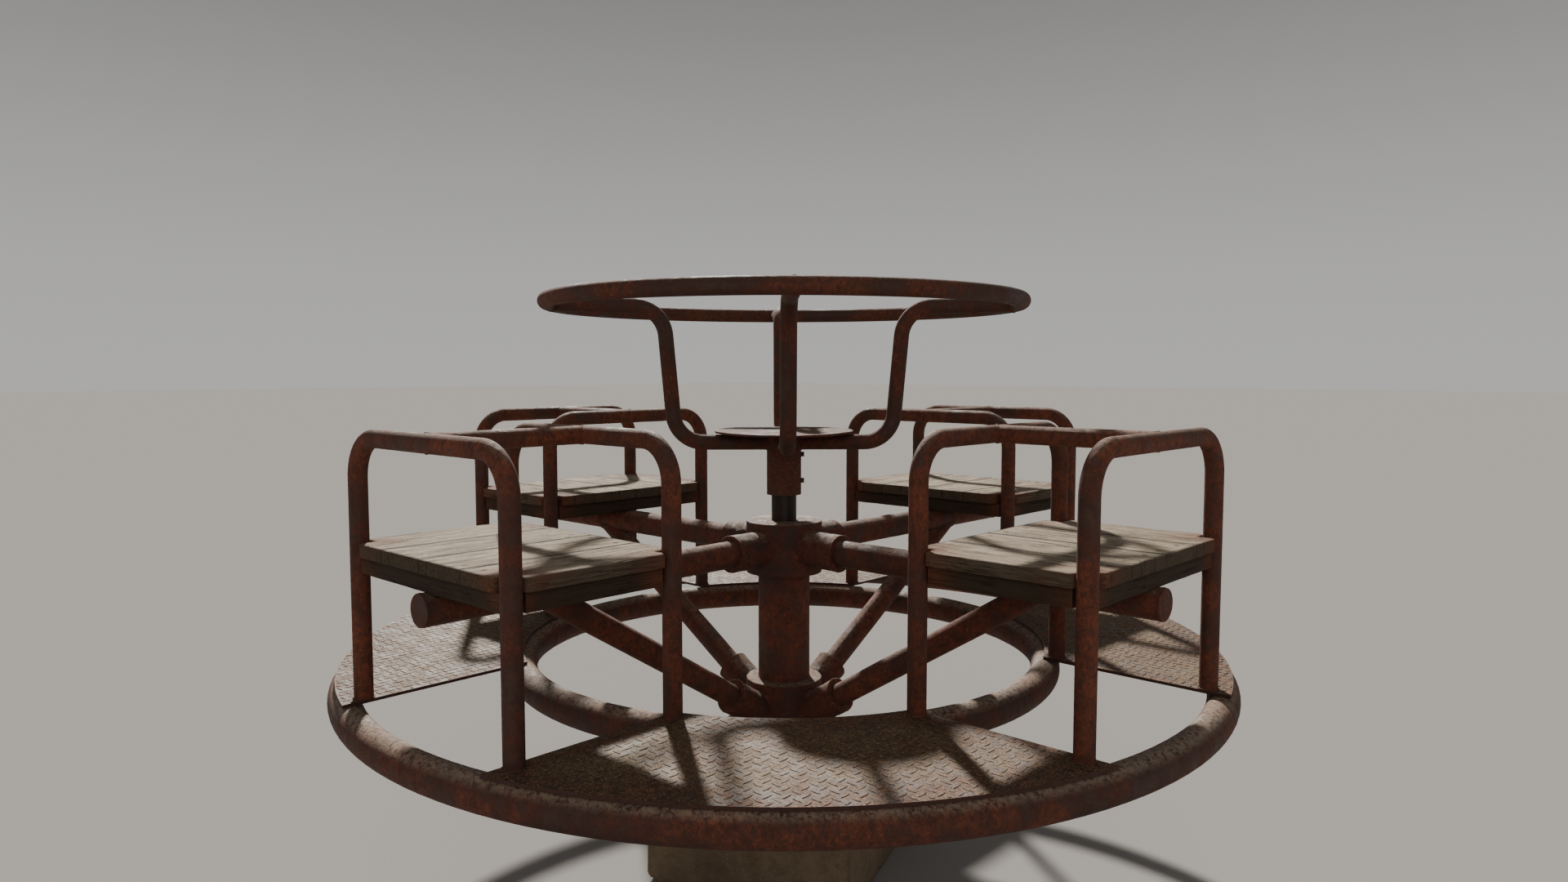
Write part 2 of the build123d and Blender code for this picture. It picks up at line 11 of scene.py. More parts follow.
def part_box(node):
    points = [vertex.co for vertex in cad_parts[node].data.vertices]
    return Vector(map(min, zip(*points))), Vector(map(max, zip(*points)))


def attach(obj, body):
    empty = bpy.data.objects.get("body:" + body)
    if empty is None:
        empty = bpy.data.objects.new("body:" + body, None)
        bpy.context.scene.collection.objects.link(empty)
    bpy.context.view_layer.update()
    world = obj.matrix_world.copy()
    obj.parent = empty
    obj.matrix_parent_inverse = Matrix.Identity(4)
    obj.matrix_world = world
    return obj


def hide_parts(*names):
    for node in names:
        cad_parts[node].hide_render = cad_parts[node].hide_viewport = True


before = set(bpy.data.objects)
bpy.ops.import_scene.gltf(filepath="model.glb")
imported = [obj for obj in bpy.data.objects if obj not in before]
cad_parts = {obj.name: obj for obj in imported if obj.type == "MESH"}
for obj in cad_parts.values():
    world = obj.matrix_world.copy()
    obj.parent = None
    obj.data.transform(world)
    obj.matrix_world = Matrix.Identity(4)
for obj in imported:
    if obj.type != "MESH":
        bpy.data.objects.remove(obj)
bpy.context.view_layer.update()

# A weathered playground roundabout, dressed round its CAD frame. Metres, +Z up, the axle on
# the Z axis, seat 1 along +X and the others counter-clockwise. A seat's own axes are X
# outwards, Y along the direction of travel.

SEATS = (1, 2, 3, 4)
MM = 0.001


# ---- sizes, read from the frame ----


def tube_box(node):
    """Centre, and radius in the thinnest direction, of a CAD node."""
    low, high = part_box(node)
    return (low + high) / 2, min(high - low) / 2


def radii(node):
    """Smallest and largest distance of a node's vertices from the axle's axis."""
    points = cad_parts[node].data.vertices
    reach = [hypot(v.co.x, v.co.y) for v in points]
    return min(reach), max(reach)


outer_middle, TUBE_R = tube_box("outer_frame_1")
inner_middle, _ = tube_box("inner_frame_1")
OUTER_POST_X = outer_middle.x
INNER_POST_X = inner_middle.x
POST_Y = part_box("outer_frame_1")[1].y - TUBE_R
POST_FOOT_Z, ARMREST_TOP_Z = (corner.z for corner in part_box("outer_frame_1"))
ARMREST_Z = ARMREST_TOP_Z - TUBE_R
PLATE_INNER_R, PLATE_OUTER_R = radii("footplate_1")
PLATE_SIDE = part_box("footplate_1")[0].x
HUB_R = radii("upper_hub")[1]
COLUMN_R = radii("column")[1]
SLEEVE_R = radii("wheel_sleeve")[1]
spoke_middle = (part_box("spoke_1")[0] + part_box("spoke_1")[1]) / 2
SPOKE_Z = spoke_middle.z
SPOKE_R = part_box("spoke_1")[1].y
SPOKE_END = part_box("spoke_1")[1].x
BOARD_LOW, BOARD_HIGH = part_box("planks_1")
BEARER_LOW, BEARER_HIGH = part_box("bearers_1")
WHEEL_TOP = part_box("wheel_ring")[1].z
WHEEL_RING_Z = WHEEL_TOP - TUBE_R
WHEEL_RING_R = radii("wheel_ring")[1] - TUBE_R
WHEEL_ARM_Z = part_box("wheel_arm_1")[0].z + TUBE_R

# Sizes of the design that no box shows
BRACE_RISE = radians(32.22)
BRACE_FOOT_Z = 353.8 * MM  # where a brace's axis leaves the hub
BRACE_R = 24.15 * MM
BRACE_TOP_X = 648.8 * MM
COLLAR_R = 39.0 * MM
COLLAR_END = 166.0 * MM
BRACE_COLLAR_R = 36.5 * MM
BRACE_COLLAR_LENGTH = 96.0 * MM
BEARER_W = 30.0 * MM
BEARER_HALF = 226.15 * MM  # half the length of a bearer that runs across the spoke
FOOTING_SIDE = 455.0 * MM
FOOTING_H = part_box("footing")[1].z
FOOTING_TURN = radians(20.6)
PLANK_COUNT = 4
PLANK_GAP = 2.0 * MM
NOTCH_SIDE_GAP = 9.0 * MM
NOTCH_END_GAP = 1.5 * MM
NOTCH_SHOULDER_R = 10.0 * MM
NOTCH_ROOT_R = 4.0 * MM
WHEEL_ARM_TOP = Vector((265.2, 0, 1237.5)) * MM  # the upper bend of an arm, before its round


def seat_turn(number):
    """Rotation from a seat's own axes to the shared frame."""
    return Matrix.Rotation(radians(90) * (number - 1), 4, "Z")


def corner_turn(number):
    """The same for the corner after a seat, over which a wheel arm stands."""
    return Matrix.Rotation(radians(90) * (number - 1) + radians(45), 4, "Z")


# ---- materials ----


def srgb(red, green, blue):
    """A colour given as it looks on a screen, 0 to 255, as linear RGBA."""
    def linear(part):
        part /= 255
        return part / 12.92 if part <= 0.04045 else ((part + 0.055) / 1.055) ** 2.4
    return (linear(red), linear(green), linear(blue), 1.0)


class Paint:
    """Builds one material. Each method returns a socket that the next can take."""

    def __init__(self, name):
        self.material = bpy.data.materials.new(name)
        self.material.use_nodes = True
        self.tree = self.material.node_tree
        self.shader = self.tree.nodes["Principled BSDF"]
        self.at = self.node("ShaderNodeTexCoord").outputs["Object"]
        facing = self.node("ShaderNodeNewGeometry").outputs["Normal"]
        self.up = self.node("ShaderNodeSeparateXYZ", facing).outputs["Z"]

    def node(self, kind, *inputs):
        made = self.tree.nodes.new(kind)
        for socket, value in zip(made.inputs, inputs):
            self.put(socket, value)
        return made

    def put(self, socket, value):
        if isinstance(value, bpy.types.NodeSocket):
            self.tree.links.new(value, socket)
        elif value is not None:
            socket.default_value = value

    def stretched(self, x, y, z):
        """The object's own coordinates, scaled along each axis."""
        made = self.tree.nodes.new("ShaderNodeVectorMath")
        made.operation = "MULTIPLY"
        self.put(made.inputs[0], self.at)
        made.inputs[1].default_value = (x, y, z)
        return made.outputs[0]

    def noise(self, scale, detail=4.0, rough=0.55, at=None, seed=None, twist=0.0):
        made = self.tree.nodes.new("ShaderNodeTexNoise")
        if seed is not None:
            made.noise_dimensions = "4D"
            self.put(made.inputs["W"], seed)
        self.put(made.inputs["Vector"], at or self.at)
        made.inputs["Scale"].default_value = scale
        made.inputs["Detail"].default_value = detail
        made.inputs["Roughness"].default_value = rough
        made.inputs["Distortion"].default_value = twist
        return made.outputs[0]

    def band(self, value, low, high, to_low=0.0, to_high=1.0):
        """0 below low, 1 above high, and smooth between, or to_low and to_high instead."""
        made = self.tree.nodes.new("ShaderNodeMapRange")
        made.interpolation_type = "SMOOTHSTEP"
        for socket, number in zip(made.inputs, (value, low, high, to_low, to_high)):
            self.put(socket, number)
        return made.outputs[0]

    def math(self, operation, a, b=0.0):
        made = self.node("ShaderNodeMath", a, b)
        made.operation = operation
        return made.outputs[0]

    def mix(self, share, a, b, blend="MIX"):
        made = self.tree.nodes.new("ShaderNodeMix")
        made.data_type = "RGBA"
        made.blend_type = blend
        for socket, value in ((made.inputs[0], share), (made.inputs[6], a), (made.inputs[7], b)):
            self.put(socket, value)
        return made.outputs[2]

    def bump(self, height, distance, under=None):
        made = self.tree.nodes.new("ShaderNodeBump")
        made.inputs["Distance"].default_value = distance
        self.put(made.inputs["Height"], height)
        self.put(made.inputs["Normal"], under)
        return made.outputs[0]

    def attribute(self, name):
        made = self.tree.nodes.new("ShaderNodeAttribute")
        made.attribute_name = name
        return made.outputs["Fac"]

    def finish(self, colour, roughness, normal, metallic=0.0, specular=0.5):
        self.put(self.shader.inputs["Base Color"], colour)
        self.put(self.shader.inputs["Roughness"], roughness)
        self.put(self.shader.inputs["Normal"], normal)
        self.shader.inputs["Metallic"].default_value = metallic
        self.shader.inputs["Specular IOR Level"].default_value = specular
        return self.material


RUST_RED = srgb(108, 57, 37)
RUST_BROWN = srgb(76, 43, 32)
RUST_ORANGE = srgb(146, 74, 42)
OLD_PAINT = srgb(56, 38, 31)
SOOT = srgb(34, 25, 23)
# Pale colour for the tops of the steel: partly settled dust, partly a painted highlight.
DUST_AND_SHEEN = srgb(174, 158, 136)
GREASE = srgb(40, 36, 31)


def rusted(name, red=RUST_RED, paint_share=0.5, dust_and_sheen_share=0.3, streak=0.75, pit=0.5):
    """Steel rusted through old paint: red and brown patches, orange bloom, dark remains, and pale tops
    that are partly dust and partly painted highlight.
    """
    paint = Paint(name)
    run = paint.stretched(1, 1, streak)
    patches = paint.noise(7.5, 7, 0.68)
    blotches = paint.noise(42, 10, 0.76, at=run, twist=0.4)
    mottle = paint.noise(130, 8, 0.8, at=run, twist=0.3)
    specks = paint.noise(480, 4, 0.7)
    broad = paint.math("MULTIPLY", patches, 0.45)
    remains = paint.math("ADD", broad, paint.math("MULTIPLY", blotches, 0.55))
    painted = paint.band(remains, 0.535 - 0.08 * paint_share, 0.575 - 0.08 * paint_share)
    colour = paint.mix(paint.band(blotches, 0.40, 0.60), RUST_BROWN, red)
    bloom = paint.math("MULTIPLY", paint.band(mottle, 0.50, 0.62), paint.band(patches, 0.56, 0.42))
    colour = paint.mix(paint.math("MULTIPLY", bloom, 0.5), colour, RUST_ORANGE)
    colour = paint.mix(paint.math("MULTIPLY", painted, 0.75), colour, OLD_PAINT)
    colour = paint.mix(paint.band(specks, 0.54, 0.66, 0.0, 0.6), colour, SOOT)
    colour = paint.mix(paint.band(mottle, 0.44, 0.34, 0.0, 0.7), colour, SOOT)
    # Paler colour on upward-facing surfaces: partly settled dust, partly a painted highlight on the
    # tops where the key light falls.
    upward = paint.band(paint.up, 0.45, 1.0)
    dust_and_sheen_on_tops = paint.math("MULTIPLY", upward, paint.band(mottle, 0.38, 0.56))
    colour = paint.mix(paint.math("MULTIPLY", dust_and_sheen_on_tops, dust_and_sheen_share), colour, DUST_AND_SHEEN)
    roughness = paint.band(remains, 0.45, 0.60, 0.86, 0.62)
    flakes = paint.bump(painted, 0.25 * MM)
    grain = paint.bump(mottle, 1.6 * MM * pit, flakes)
    normal = paint.bump(specks, 0.9 * MM * pit, grain)
    return paint.finish(colour, roughness, normal, specular=0.4)


def tread_margin(paint):
    """Distance in from the nearest edge of a tread plate, the same for all four plates."""
    flat = paint.node("ShaderNodeVectorMath", paint.stretched(1, 1, 0))
    flat.operation = "LENGTH"
    reach = flat.outputs["Value"]
    x_y = paint.node("ShaderNodeSeparateXYZ", paint.at).outputs
    side = paint.math("MINIMUM", paint.math("ABSOLUTE", x_y["X"]), paint.math("ABSOLUTE", x_y["Y"]))
    rim = paint.math("SUBTRACT", PLATE_OUTER_R, reach)
    root = paint.math("SUBTRACT", reach, PLATE_INNER_R)
    flank = paint.math("SUBTRACT", side, PLATE_SIDE)
    return paint.math("MINIMUM", paint.math("MINIMUM", rim, root), flank)


def tread_metal():
    """Plate worn and greyed by shoes, with rust in its low places."""
    paint = Paint("tread_plate")
    patches = paint.noise(5, 6, 0.65)
    blotches = paint.noise(34, 8, 0.7)
    specks = paint.noise(300, 4, 0.65)
    grit = paint.noise(110, 5, 0.7)
    crumbs = paint.noise(620, 3, 0.6)
    colour = paint.mix(paint.band(patches, 0.42, 0.60), srgb(114, 92, 63), srgb(102, 69, 45))
    colour = paint.mix(paint.band(blotches, 0.50, 0.66, 0, 0.8), colour, srgb(54, 40, 38))
    colour = paint.mix(paint.band(blotches, 0.42, 0.34, 0, 0.5), colour, srgb(118, 70, 50))
    worn = paint.math("MULTIPLY", paint.attribute("raised"), paint.band(blotches, 0.30, 0.58))
    colour = paint.mix(paint.math("MULTIPLY", worn, 0.35), colour, srgb(156, 134, 104))
    rust = paint.mix(paint.band(blotches, 0.40, 0.60), srgb(108, 62, 40), srgb(62, 41, 34))
    reach = paint.math("ADD", tread_margin(paint), paint.math("MULTIPLY", patches, -0.16))
    colour = paint.mix(paint.band(reach, 0.015, -0.05, 0, 0.8), colour, rust)
    colour = paint.mix(1.0, colour, paint.band(grit, 0.59, 0.41, 0.5, 1.3), "MULTIPLY")
    colour = paint.mix(1.0, colour, paint.band(specks, 0.60, 0.42, 0.45, 1.25), "MULTIPLY")
    colour = paint.mix(paint.band(crumbs, 0.51, 0.62, 0, 0.7), colour, srgb(46, 33, 28))
    colour = paint.mix(paint.band(crumbs, 0.47, 0.38, 0, 0.6), colour, srgb(176, 150, 112))
    colour = paint.mix(paint.band(paint.up, 0.75, 0.45), colour, srgb(66, 39, 30))
    roughness = paint.band(blotches, 0.4, 0.65, 0.74, 0.54)
    grain = paint.bump(blotches, 0.8 * MM)
    pitted = paint.bump(specks, 0.8 * MM, grain)
    normal = paint.bump(crumbs, 0.9 * MM, pitted)
    return paint.finish(colour, roughness, normal, specular=0.35)


def greasy_steel(name, colour, roughness):
    paint = Paint(name)
    film = paint.noise(40, 6, 0.6)
    runs = paint.noise(90, 3, 0.5, at=paint.stretched(1, 1, 0.06))
    tone = paint.mix(paint.band(film, 0.40, 0.68), colour, srgb(58, 40, 30))
    tone = paint.mix(paint.band(runs, 0.50, 0.62, 0, 0.5), tone, SOOT)
    return paint.finish(tone, roughness, paint.bump(film, 0.15 * MM), metallic=0.55)


def weathered_wood(name, pale, deep, silver, rust_share=1.0):
    """Softwood gone grey: grain along the object's X, dark checks and rust stains at the ends,
    and painted shade on its sides and top rims. The mesh says where it is end grain, how near
    steel it is, and its own seed."""
    paint = Paint(name)
    seed = paint.attribute("seed")
    along = paint.stretched(1, 14, 14)
    fine = paint.stretched(1, 30, 30)
    bands = paint.noise(5.5, 5, 0.6, at=along, seed=seed, twist=0.6)
    fibres = paint.noise(16, 10, 0.8, at=fine, seed=seed)
    checks = paint.noise(4.2, 6, 0.62, at=fine, seed=seed, twist=0.3)
    cloud = paint.noise(7, 6, 0.66, seed=seed)
    dots = paint.noise(150, 3, 0.6, at=paint.stretched(0.4, 1, 1), seed=seed)
    colour = paint.mix(paint.band(bands, 0.34, 0.66), deep, pale)
    colour = paint.mix(paint.band(fibres, 0.46, 0.62, 0, 0.8), colour, silver)
    colour = paint.mix(paint.band(fibres, 0.46, 0.36, 0, 0.8), colour, srgb(66, 55, 44))
    colour = paint.mix(paint.band(cloud, 0.50, 0.70, 0, 0.4), colour, srgb(90, 80, 64))
    colour = paint.mix(paint.band(dots, 0.60, 0.74, 0, 0.6), colour, srgb(44, 36, 30))
    line = paint.math("ABSOLUTE", paint.math("SUBTRACT", checks, 0.5))
    crack = paint.math("MULTIPLY", paint.band(line, 0.014, 0.004), paint.band(cloud, 0.42, 0.52))
    colour = paint.mix(paint.math("MULTIPLY", crack, 0.8), colour, srgb(34, 27, 21))
    # Painted shade: faces that turn away from up are darkened, as if out of the light.
    side = paint.band(paint.up, 0.8, 0.2, 0, 0.84)
    colour = paint.mix(side, colour, srgb(56, 44, 32))
    # Painted shade along each timber's top rim, for the shade in the seams between planks.
    colour = paint.mix(paint.math("MULTIPLY", paint.attribute("edge"), 0.8), colour, srgb(44, 35, 27))
    ends = paint.attribute("end_grain")
    colour = paint.mix(paint.math("MULTIPLY", ends, 0.6), colour, srgb(72, 58, 44))
    stain = paint.math("MULTIPLY", paint.attribute("near_steel"), paint.band(cloud, 0.34, 0.58))
    colour = paint.mix(paint.math("MULTIPLY", stain, 0.85 * rust_share), colour, srgb(112, 62, 42))
    split = paint.attribute("split")
    colour = paint.mix(paint.math("MULTIPLY", split, 0.9), colour, srgb(30, 23, 18))
    roughness = paint.band(fibres, 0.3, 0.7, 0.92, 0.78)
    grain = paint.bump(bands, 1.0 * MM)
    furrow = paint.bump(paint.math("SUBTRACT", 1.0, crack), 0.8 * MM, grain)
    normal = paint.bump(fibres, 1.4 * MM, furrow)
    return paint.finish(colour, roughness, normal, specular=0.25)


def concrete():
    paint = Paint("concrete")
    cloud = paint.noise(5, 6, 0.62)
    blotches = paint.noise(22, 8, 0.66)
    sand = paint.noise(240, 4, 0.7)
    stones = paint.noise(95, 3, 0.6)
    pores = paint.noise(170, 3, 0.65)
    streaks = paint.noise(16, 4, 0.6, at=paint.stretched(1, 1, 0.12))
    colour = paint.mix(paint.band(cloud, 0.35, 0.65), srgb(112, 95, 77), srgb(134, 115, 93))
    colour = paint.mix(paint.band(blotches, 0.46, 0.64, 0, 0.4), colour, srgb(92, 77, 59))
    colour = paint.mix(paint.band(streaks, 0.50, 0.72, 0, 0.35), colour, srgb(96, 70, 50))
    colour = paint.mix(paint.band(stones, 0.60, 0.72, 0, 0.3), colour, srgb(150, 136, 116))
    colour = paint.mix(paint.band(sand, 0.55, 0.70, 0, 0.5), colour, srgb(74, 66, 54))
    colour = paint.mix(paint.band(pores, 0.34, 0.26, 0, 0.5), colour, srgb(56, 48, 38))
    height = paint.band(pores, 0.28, 0.40)
    grain = paint.bump(height, 0.7 * MM)
    rough = paint.bump(blotches, 1.4 * MM, grain)
    normal = paint.bump(sand, 1.0 * MM, rough)
    return paint.finish(colour, 0.93, normal, specular=0.25)


FRAME_RUST = rusted("frame_rust", red=srgb(112, 56, 34), paint_share=0.4)
RING_RUST = rusted("ring_rust", red=srgb(102, 56, 40), paint_share=0.45, dust_and_sheen_share=0.55)
CAP_RUST = rusted("cap_rust", red=srgb(92, 46, 28), paint_share=0.25, dust_and_sheen_share=0.1)
WHEEL_RUST = rusted("wheel_rust", red=srgb(96, 50, 32), paint_share=0.65, dust_and_sheen_share=0.15, pit=0.35)
WELD_RUST = rusted("weld_rust", red=srgb(96, 46, 30), paint_share=0.2, streak=1.0, pit=0.8)
HUB_RUST = rusted(
    "hub_rust", red=srgb(92, 48, 33), paint_share=0.45, dust_and_sheen_share=0.45, streak=1.0, pit=1.0
)
FASTENER_RUST = rusted("fastener_rust", red=srgb(84, 48, 34), paint_share=0.3, streak=1.0, pit=0.4)
BASE_RUST = rusted("base_rust", red=srgb(98, 50, 32), paint_share=0.3, pit=0.8)
TREAD = tread_metal()
AXLE_STEEL = greasy_steel("axle_steel", GREASE, 0.46)
BEARING_STEEL = greasy_steel("bearing_steel", srgb(150, 148, 144), 0.25)
PLANK_WOOD = weathered_wood("plank_wood", srgb(154, 138, 117), srgb(114, 97, 78), srgb(212, 200, 177))
# The bearers' wood is the plank wood made much darker: painted shade for their place under the seats.
SHADE_PAINTED_BEARER_WOOD = weathered_wood("bearer_wood", srgb(66, 50, 38), srgb(46, 35, 28), srgb(82, 66, 52), 0.9)
CONCRETE = concrete()

FRAME_PARTS = ("spoke", "brace", "outer_frame", "inner_frame", "crossbar")

NODE_MATERIALS = {
    RING_RUST: ["outer_ring", "inner_ring"],
    CAP_RUST: ["spoke_caps"],
    FRAME_RUST: ["column"] + [f"{part}_{n}" for part in FRAME_PARTS for n in SEATS],
    HUB_RUST: ["upper_hub", "lower_hub", "bearing_covers", "spoke_collars", "brace_collars"],
    WHEEL_RUST: ["wheel_ring", "wheel_plate"] + [f"wheel_arm_{n}" for n in SEATS],
    FASTENER_RUST: ["wheel_sleeve", "set_bolts", "seat_screws", "anchor_bolts", "anchor_nuts"],
    BASE_RUST: ["base_plate"],
    TREAD: [f"footplate_{n}" for n in SEATS],
    AXLE_STEEL: ["axle"],
    BEARING_STEEL: ["bearing_balls"]
    + [f"{end}_bearing_{side}_race" for end in ("lower", "upper") for side in ("inner", "outer")],
    PLANK_WOOD: [f"planks_{n}" for n in SEATS],
    SHADE_PAINTED_BEARER_WOOD: [f"bearers_{n}" for n in SEATS],
    CONCRETE: ["footing"],
}
for material, names in NODE_MATERIALS.items():
    for node_name in names:
        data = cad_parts[node_name].data
        data.materials.clear()
        data.materials.append(material)


# ---- making pieces ----


def piece(name, mesh, material, body, turn=None, sharp=35.0):
    """A finished mesh as an object that rides on a body."""
    mesh.materials.append(material)
    mesh.polygons.foreach_set("use_smooth", [True] * len(mesh.polygons))
    mesh.set_sharp_from_angle(angle=radians(sharp))
    made = bpy.data.objects.new(name, mesh)
    bpy.context.scene.collection.objects.link(made)
    if turn is not None:
        made.matrix_world = turn
    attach(made, body)
    return made


def from_bmesh(name, shape):
    bmesh.ops.recalc_face_normals(shape, faces=shape.faces)
    mesh = bpy.data.meshes.new(name)
    shape.to_mesh(mesh)
    shape.free()
    return mesh


def point_values(mesh, name, values):
    """A number at each vertex, for a material to read."""
    mesh.attributes.new(name, "FLOAT", "POINT").data.foreach_set("value", values)


# ---- weld beads ----

BEAD_STEP = 1.5 * MM
BEAD_RIPPLE = 4.2 * MM
BEAD_SIDES = 8


def round_path(centre, normal, radius):
    """Points round a circle, a weld bead's step apart."""
    across = normal.orthogonal().normalized()
    other = normal.cross(across)
    count = ceil(2 * pi * radius / BEAD_STEP)
    turns = (2 * pi * i / count for i in range(count))
    return [centre + (across * cos(a) + other * sin(a)) * radius for a in turns]


def saddle_path(start, along, radius, axis_point, axis, axis_radius):
    """Where a round tube that leaves another's axis at start comes out of its surface."""
    path = []
    flat = along - axis * along.dot(axis)
    for rim in round_path(start, along, radius):
        off = rim - axis_point
        off -= axis * off.dot(axis)
        a, b, c = flat.dot(flat), flat.dot(off), off.dot(off) - axis_radius**2
        reach = (-b + sqrt(max(0.0, b * b - a * c))) / a
        path.append(rim + along * reach)
    return path


def add_bead(shape, path, radius, seed):
    """A rippled weld bead along a closed path."""
    middle = sum(path, Vector()) / len(path)
    rings = []
    travelled = 0.0
    for i, point in enumerate(path):
        ahead = path[(i + 1) % len(path)]
        tangent = (ahead - path[i - 1]).normalized()
        out = point - middle
        out = (out - tangent * out.dot(tangent)).normalized()
        side = tangent.cross(out)
        travelled += (ahead - point).length
        ripple = 0.10 * sin(2 * pi * travelled / BEAD_RIPPLE)
        wander = lumps(point * 90 + Vector((seed, 0, 0)))
        size = radius * (1 + ripple + 0.28 * wander)
        centre = point + out * radius * 0.25 * lumps(point * 60 + Vector((0, seed, 0)))
        angles = (2 * pi * k / BEAD_SIDES for k in range(BEAD_SIDES))
        rings.append([shape.verts.new(centre + (out * cos(a) + side * sin(a)) * size) for a in angles])
    for i, ring in enumerate(rings):
        ahead = rings[(i + 1) % len(rings)]
        for k in range(BEAD_SIDES):
            nearby = (k + 1) % BEAD_SIDES
            shape.faces.new((ring[k], ring[nearby], ahead[nearby], ahead[k]))


def beads(name, paths, body):
    """One piece made of many weld beads, from (path, bead radius) pairs."""
    shape = bmesh.new()
    for seed, (path, radius) in enumerate(paths):
        add_bead(shape, path, radius, seed * 7.3)
    return piece(name, from_bmesh(name, shape), WELD_RUST, body, sharp=180.0)


def turned_path(path, turn):
    return [turn @ point for point in path]


FOOT_BEAD = 1.2 * MM
BRACE_BEAD = 2.6 * MM
CAP_BEAD = 1.2 * MM
JOINT_BEAD = 1.5 * MM
COLUMN_BEAD = 1.6 * MM
HUB_BEAD = 2.2 * MM
X, Y, Z = Vector((1, 0, 0)), Vector((0, 1, 0)), Vector((0, 0, 1))


def post_foot_paths():
    for n in SEATS:
        for x in (OUTER_POST_X, INNER_POST_X):
            for y in (POST_Y, -POST_Y):
                foot = round_path(Vector((x, y, POST_FOOT_Z + 0.8 * MM)), Z, TUBE_R + 1.2 * MM)
                yield turned_path(foot, seat_turn(n)), FOOT_BEAD


def crossbar_paths():
    for n in SEATS:
        for x, way in ((OUTER_POST_X, -X), (INNER_POST_X, X)):
            start = Vector((x, 0, ARMREST_Z))
            path = saddle_path(start, way, TUBE_R, start, Y, TUBE_R)
            yield turned_path(path, seat_turn(n)), JOINT_BEAD


BRACE_WAY = Vector((cos(BRACE_RISE), 0, sin(BRACE_RISE)))
BRACE_START = Vector((0, 0, BRACE_FOOT_Z - HUB_R * tan(BRACE_RISE)))


def hub_paths():
    spoke_start = Vector((0, 0, SPOKE_Z))
    for n in SEATS:
        turn = seat_turn(n)
        path = saddle_path(spoke_start, X, COLLAR_R, Vector(), Z, HUB_R)
        yield turned_path(path, turn), HUB_BEAD
        path = saddle_path(BRACE_START, BRACE_WAY, BRACE_COLLAR_R, Vector(), Z, HUB_R)
        yield turned_path(path, turn), HUB_BEAD
    for node_name, edge in (("lower_hub", 1), ("upper_hub", 0)):
        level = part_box(node_name)[edge].z
        yield round_path(Vector((0, 0, level)), Z, COLUMN_R), COLUMN_BEAD


def brace_top_paths():
    top = Vector((BRACE_TOP_X, 0, SPOKE_Z))
    for n in SEATS:
        path = saddle_path(top, -BRACE_WAY, BRACE_R, top, X, SPOKE_R)
        yield turned_path(path, seat_turn(n)), BRACE_BEAD
        cap = round_path(Vector((SPOKE_END, 0, SPOKE_Z)), X, SPOKE_R - CAP_BEAD / 2)
        yield turned_path(cap, seat_turn(n)), CAP_BEAD


def wheel_paths():
    rise = atan2(WHEEL_RING_Z - WHEEL_ARM_TOP.z, WHEEL_RING_R - WHEEL_ARM_TOP.x)
    inward = Vector((-cos(rise), 0, -sin(rise)))
    rim = Vector((WHEEL_RING_R, 0, WHEEL_RING_Z))
    root = Vector((0, 0, WHEEL_ARM_Z))
    for n in SEATS:
        path = saddle_path(rim, inward, TUBE_R, rim, Y, TUBE_R)
        yield turned_path(path, corner_turn(n)), JOINT_BEAD
        path = saddle_path(root, X, TUBE_R, root, Z, SLEEVE_R)
        yield turned_path(path, corner_turn(n)), JOINT_BEAD


beads("post_foot_welds", post_foot_paths(), "rotor")
beads("crossbar_welds", crossbar_paths(), "rotor")
beads("hub_welds", hub_paths(), "rotor")
beads("brace_welds", brace_top_paths(), "rotor")
beads("wheel_welds", wheel_paths(), "base")


# ---- bars of the tread plates ----

BAR_PITCH = 27 * MM
BAR_LENGTH = 21 * MM
BAR_WIDTH = 4.8 * MM
BAR_HEIGHT = 1.0 * MM
BAR_SINK = 0.3 * MM
BAR_ANGLE = radians(48)
BAR_SHORTEST = 6 * MM
BAR_MARGIN = 1.5 * MM
POST_ROOM = TUBE_R + FOOT_BEAD + 2 * MM


def on_plate(point):
    """Whether a point in a seat's own axes is on the tread plate beside it."""
    reach = point.length
    if not PLATE_INNER_R + BAR_MARGIN < reach < PLATE_OUTER_R - BAR_MARGIN:
        return False
    if min(point.x, point.y) < PLATE_SIDE + BAR_MARGIN:
        return False
    posts = [(x, POST_Y) for x in (OUTER_POST_X, INNER_POST_X)]
    posts += [(y, x) for x, y in posts]
    return all(hypot(point.x - x, point.y - y) > POST_ROOM for x, y in posts)


def tread_bars(number):
    """The rows of bars on one tread plate, cut off at its edges and round the posts."""
    chance = Random(100 + number)
    shape = bmesh.new()
    turn = Matrix.Rotation(radians(45), 2)
    cells = ceil(PLATE_OUTER_R / BAR_PITCH)
    for i in range(0, 2 * cells):
        for j in range(-2 * cells, 2 * cells):
            if (i + j) % 2:
                continue
            middle = turn @ Vector((i * BAR_PITCH / 2, j * BAR_PITCH / 2))
            lean = BAR_ANGLE if i % 2 else -BAR_ANGLE
            way = turn @ Vector((sin(lean), cos(lean)))
            steps = [BAR_LENGTH * (k / 14 - 0.5) for k in range(15)]
            kept = [s for s in steps if on_plate(middle + way * s)]
            if kept and kept[-1] - kept[0] > BAR_SHORTEST:
                start, end = middle + way * kept[0], middle + way * kept[-1]
                add_bar(shape, start, end, BAR_HEIGHT * chance.uniform(0.75, 1.05))
    name = f"tread_bars_{number}"
    mesh = from_bmesh(name, shape)
    waist = POST_FOOT_Z + BAR_HEIGHT / 2
    point_values(mesh, "raised", [1.0 if v.co.z > waist else 0.25 for v in mesh.vertices])
    piece(name, mesh, TREAD, "rotor", seat_turn(number), sharp=50.0)


